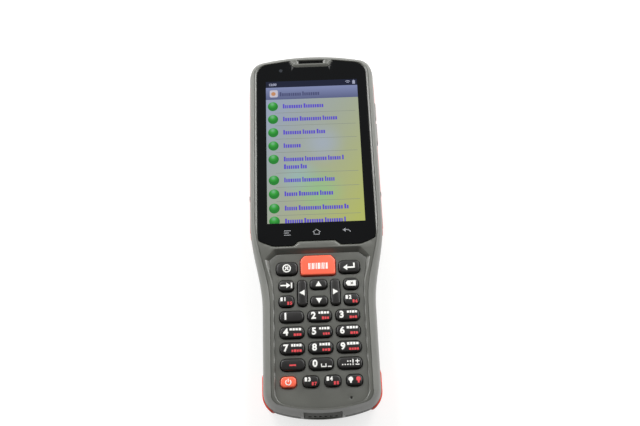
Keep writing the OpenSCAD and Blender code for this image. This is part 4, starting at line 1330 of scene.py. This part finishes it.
class TERMINAL_OT_cover_glass(Step, bpy.types.Operator):
    """Grinds the cover glass with a softened top edge and prints its touch marks"""
    bl_idname = "terminal.cover_glass"
    bl_label = "Cover glass"

    def build(self, s):
        shell = Shell()
        soft = 0.25
        edge = ((0, GLASS_LOW[2]), (0, GLASS_Z - soft), (-0.07, GLASS_Z - 0.08), (-soft, GLASS_Z))
        first, last = shell.stack([at_height(lens_outline(side), z) for side, z in edge])
        shell.fill([last], lambda x, y: np.full(len(x), GLASS_Z), GLASS_GRID)
        shell.fill([first], up=False)
        piece = shell.mesh("cover_glass")
        shade(piece, 20)
        finish(piece, "glass", "root", ["display_lens"])

        menu = flat_shape(*[bar(-15.4 + shift, y, width, TOUCH_PEN) for shift, y, width in (
            (0.0, 1.2, 3.5), (-0.45, 0.0, 2.6), (0.0, -1.2, 3.5))])
        roof = [[-2.0, 0.0], [0, 1.45], [2.0, 0.0]]
        walls = [[-1.35, 0.1], [-1.35, -1.25], [-1.2, -1.35], [1.2, -1.35], [1.35, -1.25], [1.35, 0.1]]
        home = joined(band(roof, TOUCH_PEN), band(walls, TOUCH_PEN))
        swing = arc([15.9, -1.6], 2.1, math.radians(20), math.radians(110), 14)
        back = joined(band(swing, TOUCH_PEN), flat_shape([[13.7, 0.4], [15.3, 1.5], [15.3, -0.7]]))
        signs = joined(moved(menu, 0, -48.7), moved(home, 0, -48.6), moved(back, 0, -48.4))
        ink("touch_marks", signs, "touch_mark")
        ink("sensor_window", flat_shape(disc(-17.3, 50.2, 1.0, 24)), "panel")


class TERMINAL_OT_picture(Step, bpy.types.Operator):
    """Draws the lit picture: bars, list rows with green balls, dividers and rows of blocks for text"""
    bl_idname = "terminal.picture"
    bl_label = "Picture"

    # Heights from the screen's middle: top edges of the bars and the list, and the picture's foot
    TOP, TITLE_TOP, LIST_TOP, FOOT = 43.2, 39.3, 31.5, -43.2
    # Lines of text: height of the middle and place of the right end
    ROWS = [(27.1, 6.5), (19.0, 13.5), (10.7, 6.5), (2.5, -6.0), (-5.7, 17.0), (-10.3, -4.0), (-18.2, 10.5),
            (-26.3, 9.5), (-34.6, 18.0), (-42.0, 16.0)]
    TEXT_LEFT, TEXT_HEIGHT = -16.5, 2.8
    BALLS = [27.1, 19.0, 10.7, 2.5, -5.7, -18.2, -26.3, -34.6, -42.0]
    BALL_X, BALL_R = -22.1, 2.85
    DIVIDERS = [22.9, 14.9, 6.6, -1.6, -14.0, -22.4, -30.6, -38.7]

    def build(self, s):
        shapes = [
            ("list", [self.field(self.FOOT, self.LIST_TOP)], "list_paper", 1),
            ("status_bar", [self.field(self.TITLE_TOP, self.TOP)], "status_bar", 1),
            ("title_bar", [self.field(self.LIST_TOP, self.TITLE_TOP)], "title_bar", 1),
            ("dividers", [bar(1.5, y, 2 * SCREEN_HALF - 7, 0.22) for y in self.DIVIDERS], "divider", 2),
            ("text", self.text_rows(), "text", 2),
            ("title_text", self.words(-18.2, 4.8, 34.9, 2.6, 7), "title_ink", 2),
            ("title_icon", [rounded_rect(4.6, 4.6, 0.9) + [-21.5, 35.3]], "white_light", 2),
            ("title_mark", [disc(-21.7, 35.2, 1.25, 24)], "orange_light", 3),
        ]
        for name, outlines, finish_name, layer in shapes:
            ink("picture_" + name, flat_shape(*outlines), finish_name, layer)
        clock = moved(text_faces("12:00", 1.6), -22.0, 41.2)
        waves = [band(arc([20.6, 40.3], radius, math.radians(48), math.radians(132), steps), 0.4)
                 for radius, steps in ((1.9, 12), (1.0, 8))]
        charge = flat_shape(bar(24.0, 41.15, 1.5, 2.1), bar(24.0, 42.4, 0.7, 0.5))
        ink("picture_status_signs", joined(clock, *waves, charge), "dim_light", 2)
        self.balls()

    def field(self, low, high):
        """A field of the picture over its whole width."""
        return bar(0, (low + high) / 2, 2 * SCREEN_HALF, high - low)

    def cut_off(self, outline, y=0):
        """An outline kept above the picture's foot, where y is the height of its own middle."""
        outline = np.array(outline)
        outline[:, 1] = np.maximum(outline[:, 1], self.FOOT - y)
        return outline

    def words(self, left, right, y, height, seed):
        """Blocks where a line of text stands: each word starts with a tall block, and the others are as high
        as small letters, all on one base line."""
        rng = np.random.default_rng(seed)
        outlines, x, left_in_word = [], left, 0
        while x < right - 0.5:
            first = left_in_word == 0
            left_in_word = rng.integers(5, 10) if first else left_in_word - 1
            width = rng.uniform(0.7, 1.05)
            tall = height * (1.0 if first else 0.74)
            outlines.append(bar(x + width / 2, y - (height - tall) / 2, width, tall))
            x += width + (0.85 if left_in_word == 0 else 0.34)
        return outlines

    def text_rows(self):
        """The blocks of all rows, without those that lie below the picture's foot."""
        outlines = []
        for number, (y, right) in enumerate(self.ROWS):
            for outline in self.words(self.TEXT_LEFT, right, y, self.TEXT_HEIGHT, 100 + number):
                outline = self.cut_off(outline)
                if np.ptp(outline[:, 1]) > 0.1:
                    outlines.append(outline)
        return outlines

    def balls(self):
        """Discs with their own place on them from -1 to 1, cut off at the picture's foot."""
        outlines = [self.cut_off(disc(0, 0, self.BALL_R, 40), y) for y in self.BALLS]
        points, faces = flat_shape(*[outline + [self.BALL_X, y + SCREEN_Y]
                                     for outline, y in zip(outlines, self.BALLS)])
        uv = np.concatenate(outlines) / self.BALL_R
        piece = make_mesh("picture_balls", at_height(points, INK_Z + 2 * LAYER), faces, uv)
        face_up(piece)
        finish(piece, "ball")


# ---------- flank keys, bumpers and the parts that keep their CAD shape ----------


class TERMINAL_OT_flank_keys(Step, bpy.types.Operator):
    """Moulds the scan keys on both flanks and the two keys on the right one"""
    bl_idname = "terminal.flank_keys"
    bl_label = "Flank keys"

    def build(self, s):
        soft, crown = 0.45, 0.1
        for node, sign, finish_name, slot in (
                ("side_scan_right", 1, "signal", "orange"), ("side_scan_left", -1, "signal", "orange"),
                ("volume_key", 1, "housing", "housing"), ("camera_key", 1, "housing", "housing")):
            low, high = node_box(node)
            length, height = box_span(node)[1:] - 2 * FLANK_FLANGE
            inner, outer = (low[0], high[0]) if sign > 0 else (-high[0], -low[0])
            outline = rounded_rect(length, height, height / 2 - 0.05, 12)
            normal = outward(outline)
            flange_low, flange_high = inner + 0.4, inner + 1.4
            rings = [at_height(outline + normal * grow, x) for grow, x in (
                (0, inner), (0, flange_low), (FLANK_FLANGE, flange_low), (FLANK_FLANGE, flange_high),
                (0, flange_high), (0, outer - soft - crown))]
            for angle in np.linspace(0.2, math.radians(85), 5):
                inset = soft * (1 - math.cos(angle))
                x = outer - crown - soft * (1 - math.sin(angle))
                rings.append(at_height(outline - normal * inset, x))
            rim = outline - normal * (soft + 0.03)
            rings += [at_height(rim * scale, outer - crown * scale ** 2) for scale in (0.9, 0.6, 0.3)]
            shell = Shell()
            first, last = shell.stack(rings)
            shell.fan(last, [0, 0, outer])
            shell.fan(first, [0, 0, inner], up=False)
            points = shell.all_points()
            points[:, :2] += box_middle(node)[1:]
            points = points[:, [2, 0, 1]] * [sign, 1, 1]
            faces = shell.faces if sign > 0 else [face[::-1] for face in shell.faces]
            piece = make_mesh(f"{node}_cap", points, faces)
            shade(piece, 40)
            finish(piece, finish_name, node, [node])


class TERMINAL_OT_bumpers(Step, bpy.types.Operator):
    """Overmoulds the four corner bumpers, a little proud of the rear skin"""
    bl_idname = "terminal.bumpers"
    bl_label = "Bumpers"

    # How far the bumpers stand out, roll of their border, depth under the skin, lowest and highest edge, rows
    PROUD, SOFT, DEPTH = 0.75, 0.6, 1.3
    LOW, HIGH = 2.7, 11.9
    ACROSS = 22

    def build(self, s):
        for name, node, runs in (
                ("top_bumper_skins", "top_bumpers", self.corner_runs(True)),
                ("bottom_bumper_skins", "bottom_bumpers", self.corner_runs(False))):
            shell = Shell()
            for run in runs:
                self.patch(shell, run, s)
            piece = shell.mesh(name)
            shade(piece, 50)
            finish(piece, "bumper", "root", [node])

    def corner_runs(self, top):
        """Index ranges of the outline that wrap the right and the left corner of one end."""
        count = 2 * (2 * ARCH_STEPS + 2 * CORNER_STEPS + WAIST_STEPS + 1)
        if top:
            start = ARCH_STEPS + CORNER_STEPS + WAIST_STEPS - 6
            right = np.arange(start, start + 6 + CORNER_STEPS - 1)
        else:
            right = np.arange(ARCH_STEPS + 3, ARCH_STEPS + CORNER_STEPS + 6)
        return [right, (count - right[::-1]) % count]

    def patch(self, shell, run, s):
        """A closed patch: its outer side follows the skin and rolls inwards near its border."""
        levels = soft_corners(REAR_LEVELS, [1, 1, 1], 7)
        outer, inner = [], []
        for height in np.linspace(self.LOW, self.HIGH, self.ACROSS):
            outline = body_outline(inset_at(levels, height), s)
            normal = outward(outline)
            outline, normal = outline[run], normal[run]
            reach = np.concatenate([[0], np.cumsum(np.linalg.norm(np.diff(outline, axis=0), axis=1))])
            from_end = np.minimum(reach, reach[-1] - reach)
            border = np.minimum(from_end, min(height - self.LOW, self.HIGH - height))
            roll = 1 - np.clip(border / self.SOFT, 0, 1)
            rise = self.PROUD - self.SOFT * (1 - np.sqrt(np.clip(1 - roll ** 2, 0, 1)))
            outer.append(at_height(outline + normal * rise[:, None], height))
            inner.append(at_height(outline - normal * self.DEPTH, height))
        grid_out = [shell.loop(row) for row in outer]
        grid_in = [shell.loop(row) for row in inner]
        for low, high in zip(grid_out, grid_out[1:]):
            shell.bridge(low, high, closed=False)
        for low, high in zip(grid_in, grid_in[1:]):
            shell.bridge(high, low, closed=False)
        shell.bridge(grid_in[0], grid_out[0], closed=False)
        shell.bridge(grid_out[-1], grid_in[-1], closed=False)
        edge_out, edge_in = np.array(grid_out), np.array(grid_in)
        shell.bridge(edge_out[:, 0], edge_in[:, 0], closed=False)
        shell.bridge(edge_in[:, -1], edge_out[:, -1], closed=False)


class TERMINAL_OT_kept_nodes(Step, bpy.types.Operator):
    """Gives every part that keeps its CAD shape smooth shading and its own finish, and some of them a soft
    edge
    """
    bl_idname = "terminal.kept_nodes"
    bl_label = "Kept parts"

    FINISHES = {
        "display_panel": "panel", "display_frame": "frame_metal", "earpiece_mesh": "mesh",
        "earpiece_speaker": "black_plastic", "keypad_board": "board", "key_domes": "bright_metal",
        "main_board": "board", "shield_cans": "bright_metal", "scan_engine": "black_plastic",
        "scan_window": "scan_window", "battery": "battery", "battery_contacts": "gold",
        "battery_cover": "rear", "housing_screws": "screw", "strap_studs": "stud", "port_frame": "housing",
        "port_cover": "port_rubber", "usb_socket": "bright_metal", "io_board": "board",
        "camera_window": "camera_glass",
        "camera_module": "black_plastic", "flash_lens": "flash", "loudspeaker": "black_plastic",
    }
    # Angles in degrees: edges are smooth below the first, and get a bevel above the second
    SMOOTH_BELOW, SOFT_ABOVE = 28, 40
    # Widths of the soft edges
    SOFT_EDGE = {"battery_cover": 0.25, "port_cover": 0.18, "port_frame": 0.15, "strap_studs": 0.3,
                 "housing_screws": 0.12, "battery": 0.3, "camera_window": 0.15, "flash_lens": 0.15,
                 "scan_window": 0.15, "shield_cans": 0.15}

    def build(self, s):
        smooth = self.smooth_by_angle(self.SMOOTH_BELOW)
        for node, finish_name in self.FINISHES.items():
            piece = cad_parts[node]
            piece.data.materials.clear()
            piece.data.materials.append(material(finish_name))
            piece.modifiers.new("weld", "WELD").merge_threshold = 0.002 * MM
            piece.modifiers.new("smooth", "NODES").node_group = smooth
            if node in self.SOFT_EDGE:
                soft = piece.modifiers.new("soft_edge", "BEVEL")
                soft.width = self.SOFT_EDGE[node] * MM
                soft.segments = 3
                soft.limit_method = "ANGLE"
                soft.angle_limit = math.radians(self.SOFT_ABOVE)
                soft.harden_normals = True

    def smooth_by_angle(self, degrees):
        """A node group that shades faces smooth and keeps edges above the angle sharp."""
        group = bpy.data.node_groups.new("smooth_by_angle", "GeometryNodeTree")
        for way in ("INPUT", "OUTPUT"):
            group.interface.new_socket("Geometry", in_out=way, socket_type="NodeSocketGeometry")
        whole = add_node(group, "NodeGroupInput")
        turn = add_node(group, "GeometryNodeInputMeshEdgeAngle").outputs["Unsigned Angle"]
        sharp = add_node(group, "FunctionNodeCompare", {
            0: turn, 1: math.radians(degrees)}, operation="GREATER_THAN")
        smooth = add_node(group, "GeometryNodeSetShadeSmooth", {
            "Geometry": whole, "Shade Smooth": True}, domain="FACE")
        edged = add_node(group, "GeometryNodeSetShadeSmooth", {
            "Geometry": smooth, "Selection": sharp, "Shade Smooth": False}, domain="EDGE")
        add_node(group, "NodeGroupOutput", {0: edged})
        return group


# ---------- stage ----------


class TERMINAL_OT_stage(Step, bpy.types.Operator):
    """Sets a pale floor, a white surround, soft lamps and the camera above the keypad end"""
    bl_idname = "terminal.stage"
    bl_label = "Stage"

    # Place in mm, turn in degrees and focal length of the camera, side of the floor and its own brightness
    CAMERA_PLACE = (0.59, -146.8, 408.96)
    CAMERA_TURN = (21.416, 0.55, -1.988)
    LENS = 43.55
    FLOOR_SIDE = 6000
    FLOOR_LIFT = 0.7
    # Brightness of the surround where it lights, where it is mirrored from above and from the horizon, and
    # the share that is left of it towards the keypad end
    SURROUND, OVERHEAD, HORIZON, NEAR_SIDE = 0.44, 0.22, 1.0, 0.15
    # Name, place in mm, aim in mm, width and height in mm, radiance
    LAMPS = [
        ("left_low_softbox", (-500, 230, 160), (0, 0, 15), 620, 150, 8),
        ("right_low_softbox", (500, 230, 160), (0, 0, 15), 620, 150, 8),
        ("left_high_softbox", (-230, 260, 420), (0, 0, 20), 160, 160, 13),
        ("right_high_softbox", (230, 260, 420), (0, 0, 20), 160, 160, 13),
        ("scan_end_softbox", (0, 560, 430), (0, 0, 20), 320, 120, 3.5),
    ]

    def build(self, s):
        scene = bpy.context.scene
        square = bar(0, 0, self.FLOOR_SIDE, self.FLOOR_SIDE)
        floor = make_mesh("floor", at_height(square, 0), [[0, 1, 2, 3]])
        floor.data.materials.append(self.floor_paper())
        self.world(scene)
        for lamp in self.LAMPS:
            self.lamp(*lamp)
        data = bpy.data.cameras.new("camera")
        data.lens = self.LENS
        data.sensor_width = 36
        data.clip_start = 0.01
        camera = bpy.data.objects.new("camera", data)
        camera.location = np.array(self.CAMERA_PLACE) * MM
        camera.rotation_euler = np.radians(self.CAMERA_TURN)
        scene.collection.objects.link(camera)
        scene.camera = camera
        scene.view_settings.view_transform = "Standard"

    def floor_paper(self):
        """Pale grey background paper, lifted to white where it is seen directly or mirrored, so that it keeps
        the shadow and throws little light back."""
        paper, tree, place = new_material("floor_paper")
        fibre = add_node(tree, "ShaderNodeTexNoise", {
            "Vector": place, "Scale": 1 / (1.5 * MM), "Detail": 2.0})
        relief = add_node(tree, "ShaderNodeBump", {"Height": fibre, "Distance": 0.01 * MM})
        diffuse = add_node(tree, "ShaderNodeBsdfDiffuse", {"Color": tint("#a8a8a6"), "Normal": relief})
        rays = add_node(tree, "ShaderNodeLightPath").outputs
        seen = calculate(tree, "MAXIMUM", rays["Is Camera Ray"], rays["Is Glossy Ray"])
        seen = calculate(tree, "MAXIMUM", seen, rays["Is Transmission Ray"])
        lift = calculate(tree, "MULTIPLY", seen, self.FLOOR_LIFT)
        glow = add_node(tree, "ShaderNodeEmission", {"Color": [1, 1, 1, 1], "Strength": lift})
        output(tree, add_node(tree, "ShaderNodeAddShader", {0: diffuse, 1: glow}))
        return paper

    def world(self, scene):
        """A white surround: full white where it is seen, dimmer where it lights. Mirrored, it is white near
        the horizon and grey overhead, as a room is above a lit table. Both grow dimmer towards the keypad
        end."""
        world = bpy.data.worlds.new("surround")
        world.use_nodes = True
        tree = world.node_tree
        tree.nodes.clear()
        rays = add_node(tree, "ShaderNodeLightPath").outputs
        seen = calculate(tree, "MAXIMUM", rays["Is Camera Ray"], rays["Is Transmission Ray"])
        direction = add_node(tree, "ShaderNodeTexCoord").outputs["Generated"]
        parts = add_node(tree, "ShaderNodeSeparateXYZ", {"Vector": direction}).outputs
        by_height = ranged(tree, parts["Z"], 0.25, 0.7, self.HORIZON, self.OVERHEAD)
        by_side = ranged(tree, parts["Y"], -0.8, 0.1, self.NEAR_SIDE, 1.0)
        level = add_node(tree, "ShaderNodeMix", {
            "Factor": rays["Is Glossy Ray"], 2: self.SURROUND, 3: by_height})
        other = calculate(tree, "MULTIPLY", level, by_side)
        strength = add_node(tree, "ShaderNodeMix", {"Factor": seen, 2: other, 3: 1.0})
        light = add_node(tree, "ShaderNodeBackground", {"Color": [1, 1, 1, 1], "Strength": strength})
        add_node(tree, "ShaderNodeOutputWorld", {"Surface": light})
        scene.world = world

    def lamp(self, name, place, aim, width, height, radiance):
        """A rectangular softbox; its power is pi times its radiance times its area."""
        data = bpy.data.lights.new(name, "AREA")
        data.shape = "RECTANGLE"
        data.size = width * MM
        data.size_y = height * MM
        data.energy = math.pi * radiance * width * height * MM ** 2
        lamp = bpy.data.objects.new(name, data)
        lamp.location = np.array(place) * MM
        direction = Vector(np.array(aim, float) - np.array(place, float))
        lamp.rotation_euler = direction.to_track_quat("-Z", "Y").to_euler()
        lamp.visible_camera = False
        bpy.context.scene.collection.objects.link(lamp)


# ---------- panel and registration ----------
STEPS = [TERMINAL_OT_stage, TERMINAL_OT_front_housing, TERMINAL_OT_rear_housing, TERMINAL_OT_keypad_plate,
         TERMINAL_OT_keys, TERMINAL_OT_legends, TERMINAL_OT_cover_glass, TERMINAL_OT_picture,
         TERMINAL_OT_flank_keys, TERMINAL_OT_bumpers, TERMINAL_OT_kept_nodes]


class TERMINAL_PT_panel(bpy.types.Panel):
    """Sizes, colours and the steps that build the terminal"""
    bl_idname = "TERMINAL_PT_panel"
    bl_label = "Data terminal"
    bl_space_type = "VIEW_3D"
    bl_region_type = "UI"
    bl_category = "Terminal"

    def draw(self, context):
        layout = self.layout
        for group in (context.scene.terminal_sizes, context.scene.terminal_colours):
            box = layout.box()
            for name in type(group).__annotations__:
                box.prop(group, name)
        for step in STEPS:
            layout.operator(step.bl_idname)


CLASSES = [TerminalSizes, TerminalColours, *STEPS, TERMINAL_PT_panel]


def register():
    """Registers every class and hangs the two groups of values on the scene."""
    for one in CLASSES:
        bpy.utils.register_class(one)
    bpy.types.Scene.terminal_sizes = bpy.props.PointerProperty(type=TerminalSizes)
    bpy.types.Scene.terminal_colours = bpy.props.PointerProperty(type=TerminalColours)


def unregister():
    """Takes back what register did."""
    del bpy.types.Scene.terminal_colours
    del bpy.types.Scene.terminal_sizes
    for one in reversed(CLASSES):
        bpy.utils.unregister_class(one)


def main():
    """Registers the add-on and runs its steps."""
    register()
    for step in STEPS:
        group, name = step.bl_idname.split(".")
        getattr(getattr(bpy.ops, group), name)()


if __name__ == "__main__":
    main()
